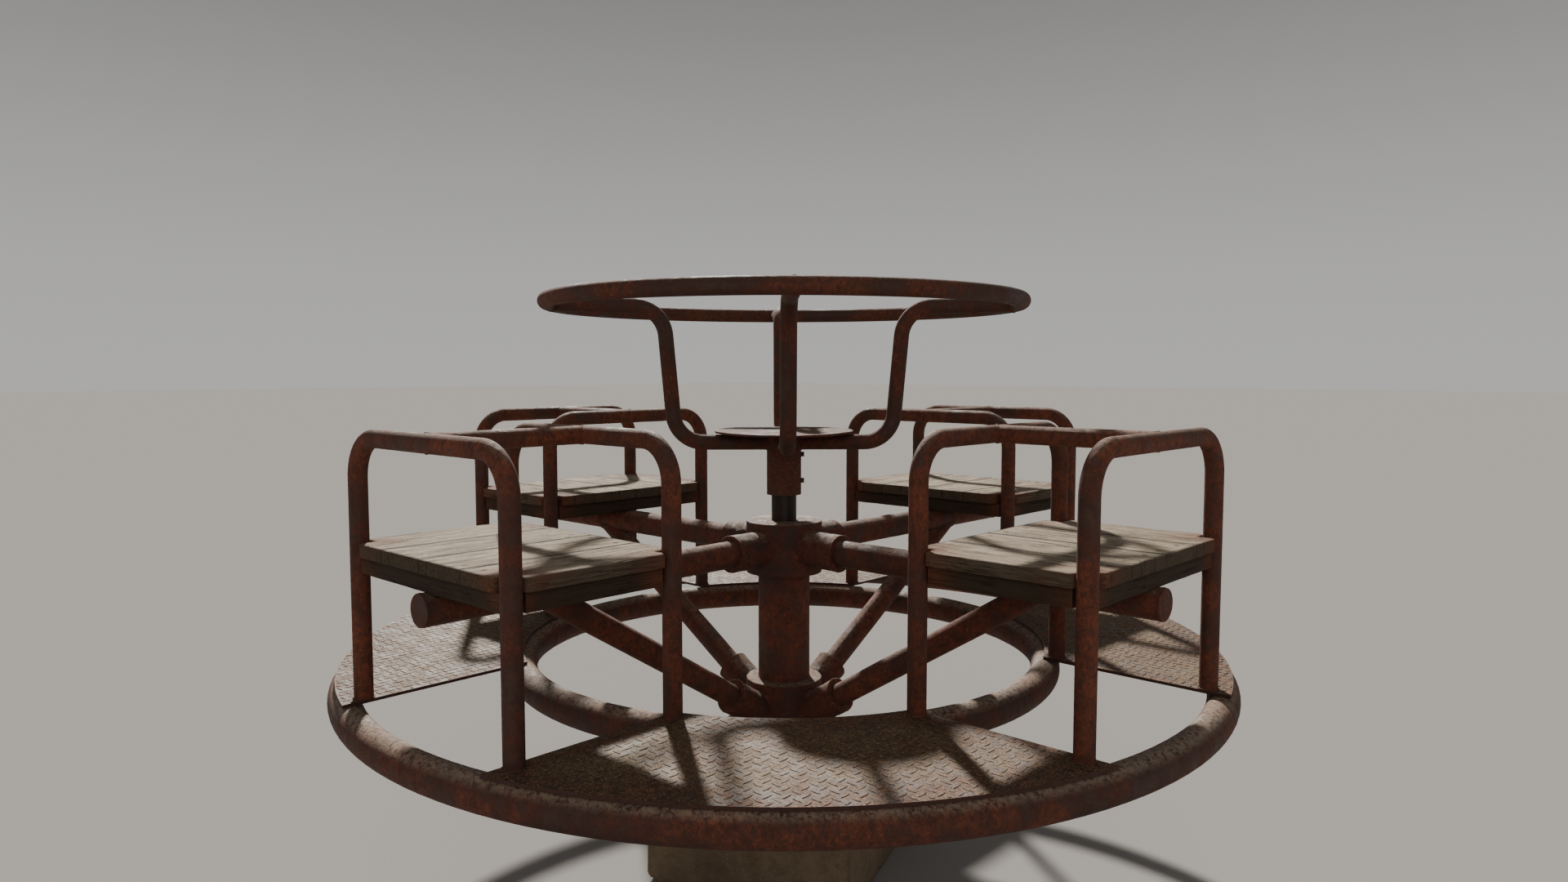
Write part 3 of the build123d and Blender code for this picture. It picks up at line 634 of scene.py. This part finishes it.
def add_bar(shape, start, end, height):
    """A low lens-shaped bar with sloping sides."""
    middle, half = (start + end) / 2, (end - start) / 2
    side = Vector((-half.y, half.x)).normalized() * BAR_WIDTH / 2
    outline = [(-1, 0), (-0.55, -0.8), (0, -1), (0.55, -0.8), (1, 0), (0.55, 0.8), (0, 1), (-0.55, 0.8)]
    rings = []
    for share, z in ((1.0, -BAR_SINK), (1.0, 0.15 * height), (0.62, height)):
        ring = [middle + half * (a * (share + 1) / 2) + side * (b * share) for a, b in outline]
        rings.append([shape.verts.new((p.x, p.y, POST_FOOT_Z + z)) for p in ring])
    shape.faces.new(reversed(rings[0]))
    shape.faces.new(rings[-1])
    for low, high in zip(rings, rings[1:]):
        for k in range(len(outline)):
            nearby = (k + 1) % len(outline)
            shape.faces.new((low[k], low[nearby], high[nearby], high[k]))


for number in SEATS:
    tread_bars(number)


# ---- timber ----

EDGE_ROUND = 1.9 * MM
END_STEP = 3.0 * MM
SIDE_STEP = 8.0 * MM
SPLIT_HALF = 0.8 * MM
SPLIT_ROOM = 6 * MM
SPLIT_NOTCH = 3 * MM
SPLIT_STEP = 5 * MM
END_GRAIN_REACH = 2.2 * MM
POST_STAIN = 70 * MM
BEARER_STAIN = 40 * MM
SURFACE_STEP = (9.0 * MM, 3.2 * MM)


def walk(corners, splits=()):
    """A closed outline through (point, round radius) corners, with points a few millimetres
    apart, and with a notch where a split reaches an end of the timber."""
    count = len(corners)
    outline = []
    for i, (corner, radius) in enumerate(corners):
        before, after = corners[i - 1], corners[(i + 1) % count]
        way_in = (corner - before[0]).normalized()
        way_out = (after[0] - corner).normalized()
        end = corner + way_out * radius
        if radius:
            for k in range(5):
                angle = k / 4 * pi / 2
                back = way_in * radius * (1 - sin(angle))
                on = way_out * radius * (1 - cos(angle))
                outline.append(corner - back + on)
        else:
            outline.append(corner.copy())
        stop = after[0] - way_out * after[1]
        span = (stop - end).length
        step = END_STEP if abs(way_out.y) > 0.5 else SIDE_STEP
        pieces = max(1, round(span / step))
        run = [end.lerp(stop, k / pieces) for k in range(1, pieces)]
        if abs(way_out.y) > 0.5:
            run = notched(run, end, stop, splits)
        outline += run
    return outline


def notched(run, start, stop, splits):
    """The points across an end, with the end's splits let in."""
    y_low = min(start.y, stop.y) + SPLIT_ROOM
    y_high = max(start.y, stop.y) - SPLIT_ROOM
    for split in splits:
        if abs(split["end"] - start.x) > MM or not y_low < split["y"] < y_high:
            continue
        run = [p for p in run if abs(p.y - split["y"]) > 2 * SPLIT_HALF]
        inward = -1 if split["end"] > split["other"] else 1
        lips = [Vector((start.x, split["y"] + s * SPLIT_HALF)) for s in (-1, 1)]
        run += [*lips, Vector((start.x + inward * SPLIT_NOTCH, split["y"]))]
        run.sort(key=lambda p: p.y, reverse=start.y > stop.y)
    return run


def inset(outline, depth):
    """The outline moved inwards. It runs counter-clockwise."""
    moved = []
    for i, point in enumerate(outline):
        before = (point - outline[i - 1]).normalized()
        after = (outline[(i + 1) % len(outline)] - point).normalized()
        normal = Vector((-before.y - after.y, before.x + after.x))
        square = max(0.35, normal.length_squared / 4)
        moved.append(point + normal / 2 / square * depth)
    return moved


def split_depth(split, x, y):
    """How deep a split is at a point, and 0 outside it."""
    low, high = sorted((split["end"], split["other"]))
    if not low <= x <= high:
        return 0.0
    run = abs(x - split["other"]) / max(high - low, MM)
    aside = abs(y - split_line(split, x)) / SPLIT_HALF
    return split["depth"] * min(1.0, 1.6 * run) * max(0.0, 1 - aside)


def split_line(split, x):
    """Where across the timber a split's line is, at a place along it."""
    away = abs(x - split["end"])
    wander = 2.5 * MM * lumps(Vector((x * 14, split["y"] * 50, 0)))
    return split["y"] + wander * min(1.0, away / (30 * MM))


def timber(name, corners, low, high, material, turn, steel, seed, splits=(), coarse=1.0):
    """A piece of weathered timber with its grain along X: eased edges, raised grain, splits.
    steel is a list of (x, y, reach) places that stain it."""
    outline = walk(corners, splits)
    shift = Vector((seed * 3.1, seed * 1.7, 0))
    eased = [EDGE_ROUND * (1.1 + 0.9 * lumps(Vector((p.x * 35, p.y * 35, seed)))) for p in outline]
    profile = [(1.0, 0.0), (0.3, 0.3), (0.0, 1.0)]
    rings = []
    thick = high - low
    levels = [(a, b * EDGE_ROUND) for a, b in profile]
    levels += [(0.0, thick / 3), (0.0, 2 * thick / 3)]
    levels += [(a, thick - b * EDGE_ROUND) for a, b in reversed(profile)]
    for share, rise in levels:
        inner = inset(outline, share * EDGE_ROUND)
        moved = [p + (q - p) * (e / EDGE_ROUND) for p, q, e in zip(outline, inner, eased)]
        ring = []
        for p in moved:
            worn = 0.35 * MM * lumps(Vector((p.x * 10, p.y * 10, (low + rise) * 260)) + shift)
            ring.append(Vector((p.x, p.y + worn, low + rise)))
        rings.append(ring)
    top = [Vector((p.x, p.y)) for p in rings[-1]]
    inside = surface_points(inset(outline, EDGE_ROUND + 1.2 * MM), splits, coarse)
    points = top + inside
    edges = [(i, (i + 1) % len(top)) for i in range(len(top))]
    flat, _, faces, origin, _, _ = delaunay_2d_cdt(points, edges, [], 1, 1e-7)
    shape = bmesh.new()
    verts = [[shape.verts.new(p) for p in ring] for ring in rings]
    for low_ring, high_ring in zip(verts, verts[1:]):
        for i in range(len(top)):
            ahead = (i + 1) % len(top)
            shape.faces.new((low_ring[i], low_ring[ahead], high_ring[ahead], high_ring[i]))
    ceiling, ground = [], []
    for p, sources in zip(flat, origin):
        rim = [s for s in sources if s < len(top)]
        if rim:
            ceiling.append(verts[-1][rim[0]])
            ground.append(verts[0][rim[0]])
            continue
        raised = 0.45 * MM * lumps(Vector((p.x * 9, p.y * 150, 0)) + shift)
        raised += 0.5 * MM * lumps(Vector((p.x * 6, p.y * 30, 3)) + shift)
        cut = max([split_depth(s, p.x, p.y) for s in splits], default=0.0)
        ceiling.append(shape.verts.new((p.x, p.y, high + raised - 0.3 * MM - cut)))
        ground.append(shape.verts.new((p.x, p.y, low + 0.2 * MM + abs(raised) / 2)))
    for face in faces:
        shape.faces.new([ceiling[i] for i in face])
        shape.faces.new([ground[i] for i in reversed(face)])
    bmesh.ops.holes_fill(shape, edges=[e for e in shape.edges if e.is_boundary], sides=8)
    mesh = from_bmesh(name, shape)
    ends = [c.x for c, _ in corners]
    along = [min(abs(v.co.x - min(ends)), abs(v.co.x - max(ends))) for v in mesh.vertices]
    point_values(mesh, "end_grain", [max(0.0, 1 - a / END_GRAIN_REACH) for a in along])
    # Top-rim vertices, which the material darkens as painted shade along the seams.
    rims = {p.to_tuple(5) for p in top}
    point_values(mesh, "edge", [1.0 if v.co.xy.to_tuple(5) in rims else 0.0 for v in mesh.vertices])
    point_values(mesh, "seed", [seed] * len(mesh.vertices))
    point_values(mesh, "split", [
        min(1.0, max([split_depth(s, v.co.x, v.co.y) for s in splits], default=0.0) / (2 * MM))
        if v.co.z > (low + high) / 2 else 0.0
        for v in mesh.vertices
    ])
    point_values(mesh, "near_steel", [
        max(exp(-(((v.co.x - x) ** 2 + (v.co.y - y) ** 2) / reach**2)) for x, y, reach in steel)
        for v in mesh.vertices
    ])
    return piece(name, mesh, material, "rotor", turn, sharp=32.0)


def surface_points(outline, splits, coarse):
    """Points for the faces of a timber: a grid inside the outline, and each split's lips."""
    xs = [p.x for p in outline]
    ys = [p.y for p in outline]
    step_x, step_y = (s * coarse for s in SURFACE_STEP)
    across = max(1, round((max(ys) - min(ys)) / step_y))
    along = max(1, round((max(xs) - min(xs)) / step_x))
    found = []
    for i in range(along + 1):
        for j in range(across + 1):
            shift = 0.5 if j % 2 else 0.0
            point = Vector((
                min(xs) + (i + shift) * (max(xs) - min(xs)) / along,
                min(ys) + j * (max(ys) - min(ys)) / across,
            ))
            clear = all(
                abs(point.y - split_line(s, point.x)) > 2.2 * SPLIT_HALF or not within(s, point.x)
                for s in splits
            )
            if clear and inside_outline(point, outline):
                found.append(point)
    for split in splits:
        reach = abs(split["end"] - split["other"])
        toward = 1 if split["other"] > split["end"] else -1
        for k in range(1, ceil(reach / SPLIT_STEP)):
            x = split["end"] + toward * k * SPLIT_STEP
            lips = [Vector((x, split_line(split, x) + s * SPLIT_HALF)) for s in (-1, 0, 1)]
            found += [p for p in lips if inside_outline(p, outline)]
    return found


def within(split, x):
    """Whether a place along a timber is beside a split."""
    low, high = sorted((split["end"], split["other"]))
    return low - MM < x < high + MM


def inside_outline(point, outline):
    """Whether a point is inside a closed outline."""
    crossings = 0
    for a, b in zip(outline, outline[1:] + outline[:1]):
        if (a.y > point.y) != (b.y > point.y):
            if point.x < a.x + (point.y - a.y) / (b.y - a.y) * (b.x - a.x):
                crossings += 1
    return crossings % 2 == 1


def plank_corners(index):
    """The corners of a plank, counter-clockwise. The two at the sides are notched."""
    pitch = (BOARD_HIGH.y - BOARD_LOW.y + PLANK_GAP) / PLANK_COUNT
    x_low, x_high = BOARD_LOW.x, BOARD_HIGH.x
    if 0 < index < PLANK_COUNT - 1:
        y_low = BOARD_LOW.y + index * pitch
        y_high = y_low + pitch - PLANK_GAP
        square = [(x_low, y_low), (x_high, y_low), (x_high, y_high), (x_low, y_high)]
        return [(Vector(p), 0.0) for p in square]
    y_low, y_high = BOARD_HIGH.y - pitch + PLANK_GAP, BOARD_HIGH.y
    notch_y = POST_Y - TUBE_R - NOTCH_SIDE_GAP
    wall_out = OUTER_POST_X - TUBE_R - NOTCH_END_GAP
    wall_in = INNER_POST_X + TUBE_R + NOTCH_END_GAP
    last = [
        (Vector((x_low, y_low)), 0.0),
        (Vector((x_high, y_low)), 0.0),
        (Vector((x_high, notch_y)), NOTCH_SHOULDER_R),
        (Vector((wall_out, notch_y)), NOTCH_ROOT_R),
        (Vector((wall_out, y_high)), NOTCH_SHOULDER_R),
        (Vector((wall_in, y_high)), NOTCH_SHOULDER_R),
        (Vector((wall_in, notch_y)), NOTCH_ROOT_R),
        (Vector((x_low, notch_y)), NOTCH_SHOULDER_R),
    ]
    if index:
        return last
    return [(Vector((p.x, -p.y)), r) for p, r in reversed(last)]


def plank(number, index):
    """One of a seat's planks, with a few splits that start at its ends."""
    chance = Random(40 * number + index)
    corners = plank_corners(index)
    ys = [c.y for c, _ in corners]
    splits = []
    for _ in range(chance.choice((2, 3, 3, 4))):
        at_end = chance.choice((BOARD_LOW.x, BOARD_HIGH.x))
        toward = 1 if at_end == BOARD_LOW.x else -1
        splits.append({
            "end": at_end,
            "other": at_end + toward * chance.uniform(40, 190) * MM,
            "y": chance.uniform(min(ys) + 22 * MM, max(ys) - 42 * MM),
            "depth": chance.uniform(3.0, 6.5) * MM,
        })
    apart = [
        s for i, s in enumerate(splits) if all(abs(s["y"] - t["y"]) > 7 * MM for t in splits[:i])
    ]
    steel = [(x, y, POST_STAIN) for x in (OUTER_POST_X, INNER_POST_X) for y in (POST_Y, -POST_Y)]
    return timber(
        f"plank_{number}_{index + 1}", corners, BOARD_LOW.z, BOARD_HIGH.z, PLANK_WOOD,
        seat_turn(number), steel, 10.0 * number + index * 2.3, apart,
    )


def bearer(number, index, middle, length, across):
    """One of the four timbers under a seat's planks. across turns it square to the spoke."""
    half, width = length / 2, BEARER_W / 2
    square = [(-half, -width), (half, -width), (half, width), (-half, width)]
    turn = seat_turn(number) @ Matrix.Translation(middle)
    if across:
        turn = turn @ Matrix.Rotation(pi / 2, 4, "Z")
    steel = [(-half, 0, BEARER_STAIN), (half, 0, BEARER_STAIN)]
    height = BEARER_HIGH.z - BEARER_LOW.z
    return timber(
        f"bearer_{number}_{index}", [(Vector(p), 0.0) for p in square], 0.0, height, SHADE_PAINTED_BEARER_WOOD,
        turn, steel, 5.0 * number + index, coarse=1.6,
    )


def seat_timber(number):
    boards = [plank(number, index) for index in range(PLANK_COUNT)]
    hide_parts(f"planks_{number}")
    inner, outer = BEARER_LOW.x + BEARER_W / 2, BEARER_HIGH.x - BEARER_W / 2
    side_length = BEARER_HIGH.x - BEARER_LOW.x - 2 * BEARER_W
    side_y = BEARER_HIGH.y - BEARER_W / 2
    z = BEARER_LOW.z
    under = [
        bearer(number, 1, Vector((inner, 0, z)), 2 * BEARER_HALF, True),
        bearer(number, 2, Vector((outer, 0, z)), 2 * BEARER_HALF, True),
        bearer(number, 3, Vector(((inner + outer) / 2, side_y, z)), side_length, False),
        bearer(number, 4, Vector(((inner + outer) / 2, -side_y, z)), side_length, False),
    ]
    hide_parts(f"bearers_{number}")


for number in SEATS:
    seat_timber(number)


# ---- hubs and their sockets ----

CAST_STEP = 4 * MM
CAST_EDGE = 1.0 * MM
HUB_LUMP = 0.35 * MM
SOCKET_LUMP = 0.9 * MM
RIM_SWELL = 1.0 * MM
SOCKET_RIM = 14 * MM
SOCKET_START = 70 * MM  # inside the hub's wall


def rough_turned(name, corners, smooth_r, lump, rim, turn):
    """A rough casting turned about its own Z, closed through (radius, height) corners.
    It is smooth inside smooth_r, and its last rim metres of height are thicker and uneven."""
    outline = []
    top = max(z for _, z in corners)
    for (r1, z1), (r2, z2) in zip(corners, corners[1:] + corners[:1]):
        span = hypot(r2 - r1, z2 - z1)
        steps = ceil(span / CAST_STEP)
        ease = CAST_EDGE / span
        shares = [ease] + [k / steps for k in range(1, steps)] + [1 - ease]
        outline += [(r1 + (r2 - r1) * t, z1 + (z2 - z1) * t) for t in shares]
    count = ceil(2 * pi * max(r for r, _ in corners) / CAST_STEP)
    shape = bmesh.new()
    rings = []
    for r, z in outline:
        ring = []
        for k in range(count):
            angle = 2 * pi * k / count
            place = Vector((r * cos(angle), r * sin(angle), z))
            if r > smooth_r:
                way = Vector((cos(angle), sin(angle), 0))
                swell = lump * (lumps(turn @ place * 60) + 0.5 * lumps(turn @ place * 150))
                if rim:
                    near_top = max(0.0, 1 - (top - z) / rim)
                    swell += RIM_SWELL * near_top * (0.8 + lumps(turn @ place * 45))
                place += way * swell
            ring.append(shape.verts.new(place))
        rings.append(ring)
    for a, b in zip(rings, rings[1:] + rings[:1]):
        for k in range(count):
            ahead = (k + 1) % count
            shape.faces.new((a[k], b[k], b[ahead], a[ahead]))
    return piece(name, from_bmesh(name, shape), HUB_RUST, "rotor", turn, sharp=40.0)


def hub_castings():
    """The two hubs, rough outside and open to their bearings' seats."""
    for node_name in ("lower_hub", "upper_hub"):
        low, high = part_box(node_name)
        bore = radii(node_name)[0]
        seat = radii("lower_bearing_outer_race")[1]
        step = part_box(node_name.replace("hub", "bearing_outer_race"))
        if node_name == "lower_hub":
            inside = [(bore, high.z), (bore, step[1].z), (seat, step[1].z), (seat, low.z)]
        else:
            inside = [(seat, high.z), (seat, step[0].z), (bore, step[0].z), (bore, low.z)]
        corners = [(HUB_R, low.z), (HUB_R, high.z), *inside]
        name = f"{node_name}_casting"
        made = rough_turned(name, corners, seat + MM, HUB_LUMP, 0.0, Matrix())
        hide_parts(node_name)


def socket(name, bore, radius, end, turn):
    """One socket along its own Z, from inside the hub to end, with a lumpy rim there."""
    tube = [(bore, SOCKET_START), (radius, SOCKET_START), (radius, end), (bore, end)]
    return rough_turned(name, tube, bore + MM, SOCKET_LUMP, SOCKET_RIM, turn)


def sockets():
    """The sockets for the spokes and braces."""
    lay_level = Matrix.Translation((0, 0, SPOKE_Z)) @ Matrix.Rotation(pi / 2, 4, "Y")
    lean = Matrix.Rotation(pi / 2 - BRACE_RISE, 4, "Y")
    lay_sloping = Matrix.Translation(BRACE_START) @ lean
    brace_end = HUB_R / cos(BRACE_RISE) + BRACE_COLLAR_LENGTH
    for n in SEATS:
        turn = seat_turn(n)
        made = socket(f"spoke_socket_{n}", SPOKE_R, COLLAR_R, COLLAR_END, turn @ lay_level)
        if n == 1:
            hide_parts("spoke_collars")
        made = socket(f"brace_socket_{n}", BRACE_R, BRACE_COLLAR_R, brace_end, turn @ lay_sloping)
        if n == 1:
            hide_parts("brace_collars")


hub_castings()
sockets()


# ---- footing ----

FOOTING_STEP = 7 * MM
FOOTING_ROUND = 6 * MM
CHIP_BAND = 26 * MM
CHIP_DEEPEST = 12 * MM


def footing_block():
    """A cast block with worn and chipped arrises."""
    half = FOOTING_SIDE / 2
    sizes = Vector((half, half, FOOTING_H / 2))
    shape = bmesh.new()
    bmesh.ops.create_cube(shape, size=2.0)
    for axis in range(3):
        cuts = ceil(2 * sizes[axis] / FOOTING_STEP)
        edges = [e for e in shape.edges if abs(e.verts[0].co[axis] - e.verts[1].co[axis]) > 1e-6]
        bmesh.ops.subdivide_edges(shape, edges=edges, cuts=cuts, use_grid_fill=True)
    for vert in shape.verts:
        place = Vector(a * b for a, b in zip(vert.co, sizes))
        worn = FOOTING_ROUND * (1.3 + lumps(place * 13))
        core = Vector(max(-s + worn, min(s - worn, p)) for p, s in zip(place, sizes))
        away = place - core
        if away.length > 1e-9:
            place = core + away.normalized() * worn
        faces_near = sum(1 for p in vert.co if abs(p) > 1 - CHIP_BAND / half)
        if faces_near > 1:
            chip = max(0.0, lumps(place * 24 + Vector((5, 5, 5))) - 0.28) * 24 * MM
            place -= away.normalized() * min(chip, CHIP_DEEPEST)
        rough = 0.4 * MM * (lumps(place * 40) + 0.8 * lumps(place * 110))
        place += away.normalized() * rough
        vert.co = place + Vector((0, 0, FOOTING_H / 2))
        vert.co.z = max(0.0, min(FOOTING_H, vert.co.z))
    mesh = from_bmesh("footing_block", shape)
    turn = Matrix.Rotation(FOOTING_TURN, 4, "Z")
    block = piece("footing_block", mesh, CONCRETE, "base", turn, sharp=60.0)
    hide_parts("footing")


footing_block()


# ---- plate on the hand wheel ----

DISC_EDGE = 1.6 * MM
DISC_RINGS = 12
DISC_SIDES = 96


def wheel_disc():
    """The thin round plate, its rim bent up, more at two opposite sides than between them."""
    low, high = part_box("wheel_plate")
    radius = high.x
    bevel = 0.3 * DISC_EDGE
    shape = bmesh.new()
    reaches = [radius * k / DISC_RINGS for k in range(DISC_RINGS)]
    rim = [(radius - DISC_EDGE, 0.0), (radius - bevel, bevel), (radius, DISC_EDGE)]
    profile = [(reach, high.z) for reach in reaches]
    profile += [(reach, high.z - drop) for reach, drop in rim]
    profile += [(reach, low.z + rise) for reach, rise in reversed(rim)]
    profile += [(reach, low.z) for reach in reversed(reaches)]
    count = DISC_SIDES
    rings = []
    for reach, z in profile:
        ring = []
        for k in range(1 if reach == 0 else count):
            angle = 2 * pi * k / count
            share = reach / radius
            swing = angle - pi / 4
            lift = share**2 * (3.7 + 1.3 * cos(2 * swing) + 2.0 * max(0.0, sin(swing))) * MM
            way = Vector((cos(angle), sin(angle), 0))
            dent = 0.7 * MM * share * lumps(way * 2.2 + Vector((reach * 20, 0, 0)))
            ring.append(shape.verts.new((reach * way.x, reach * way.y, z + lift + dent)))
        rings.append(ring)
    for a, b in zip(rings, rings[1:]):
        for k in range(count):
            ahead = (k + 1) % count
            if len(a) == 1:
                shape.faces.new((a[0], b[k], b[ahead]))
            elif len(b) == 1:
                shape.faces.new((a[k], b[0], a[ahead]))
            else:
                shape.faces.new((a[k], b[k], b[ahead], a[ahead]))
    mesh = from_bmesh("wheel_disc", shape)
    disc = piece("wheel_disc", mesh, WHEEL_RUST, "base", sharp=50.0)
    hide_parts("wheel_plate")


wheel_disc()


# ---- floor, light and camera ----

FLOOR_HALF = 60.0
KEY_AZIMUTH = radians(145)
KEY_HEIGHT = radians(35)
KEY_POWER = 7.0
FILL_AT = (3.6, -3.8, 2.8)
FILL_TARGET = (0, 0, 0.6)
FILL_POWER = 50
SKY_LOW = 0.50
SKY_HIGH = 0.20
SKY_FADE = 0.45  # the sine of the height where the sky has become SKY_HIGH
CAMERA_AT = Vector((1.5615, -1.6739, 1.0998))
CAMERA_TARGET = Vector((0, 0, 0.9421))
CAMERA_LENS = 23.77


def floor():
    mesh = bpy.data.meshes.new("studio_floor")
    square = ((-1, -1), (1, -1), (1, 1), (-1, 1))
    corners = [(x * FLOOR_HALF, y * FLOOR_HALF, 0) for x, y in square]
    mesh.from_pydata(corners, [], [(0, 1, 2, 3)])
    paint = Paint("studio_floor")
    mesh.materials.append(paint.finish(srgb(156, 154, 151), 0.9, None, specular=0.0))
    made = bpy.data.objects.new("studio_floor", mesh)
    bpy.context.scene.collection.objects.link(made)


def lamp(name, kind, place, target, power, colour, **settings):
    data = bpy.data.lights.new(name, kind)
    data.energy = power
    data.color = colour
    for key, value in settings.items():
        setattr(data, key, value)
    made = bpy.data.objects.new(name, data)
    bpy.context.scene.collection.objects.link(made)
    made.location = place
    made.rotation_euler = (Vector(target) - Vector(place)).to_track_quat("-Z", "Y").to_euler()


def lights():
    """A key light from behind and above, a soft fill from the camera's side."""
    flat = cos(KEY_HEIGHT)
    way = Vector((cos(KEY_AZIMUTH) * flat, sin(KEY_AZIMUTH) * flat, sin(KEY_HEIGHT)))
    lamp("key", "SUN", way * 6, (0, 0, 0), KEY_POWER, (1.0, 0.95, 0.88), angle=radians(3))
    lamp("fill", "AREA", FILL_AT, FILL_TARGET, FILL_POWER, (1, 1, 1), shape="DISK", size=3.5)


def world_light():
    """Pale at the horizon, so that the floor has no edge, and darker above."""
    world = bpy.data.worlds.new("studio")
    bpy.context.scene.world = world
    world.use_nodes = True
    nodes = world.node_tree.nodes
    links = world.node_tree.links
    way = nodes.new("ShaderNodeTexCoord")
    height = nodes.new("ShaderNodeSeparateXYZ")
    links.new(way.outputs["Generated"], height.inputs[0])
    fall = nodes.new("ShaderNodeMapRange")
    fall.interpolation_type = "SMOOTHSTEP"
    for socket, number in zip(fall.inputs[1:5], (0.0, SKY_FADE, SKY_LOW, SKY_HIGH)):
        socket.default_value = number
    links.new(height.outputs["Z"], fall.inputs[0])
    sky = nodes["Background"]
    sky.inputs["Color"].default_value = (1.0, 0.985, 0.965, 1)
    links.new(fall.outputs[0], sky.inputs["Strength"])


def camera():
    data = bpy.data.cameras.new("camera")
    data.lens = CAMERA_LENS
    data.sensor_width = 36.0
    made = bpy.data.objects.new("camera", data)
    bpy.context.scene.collection.objects.link(made)
    made.location = CAMERA_AT
    made.rotation_euler = (CAMERA_TARGET - CAMERA_AT).to_track_quat("-Z", "Y").to_euler()
    bpy.context.scene.camera = made


floor()
world_light()
lights()
camera()
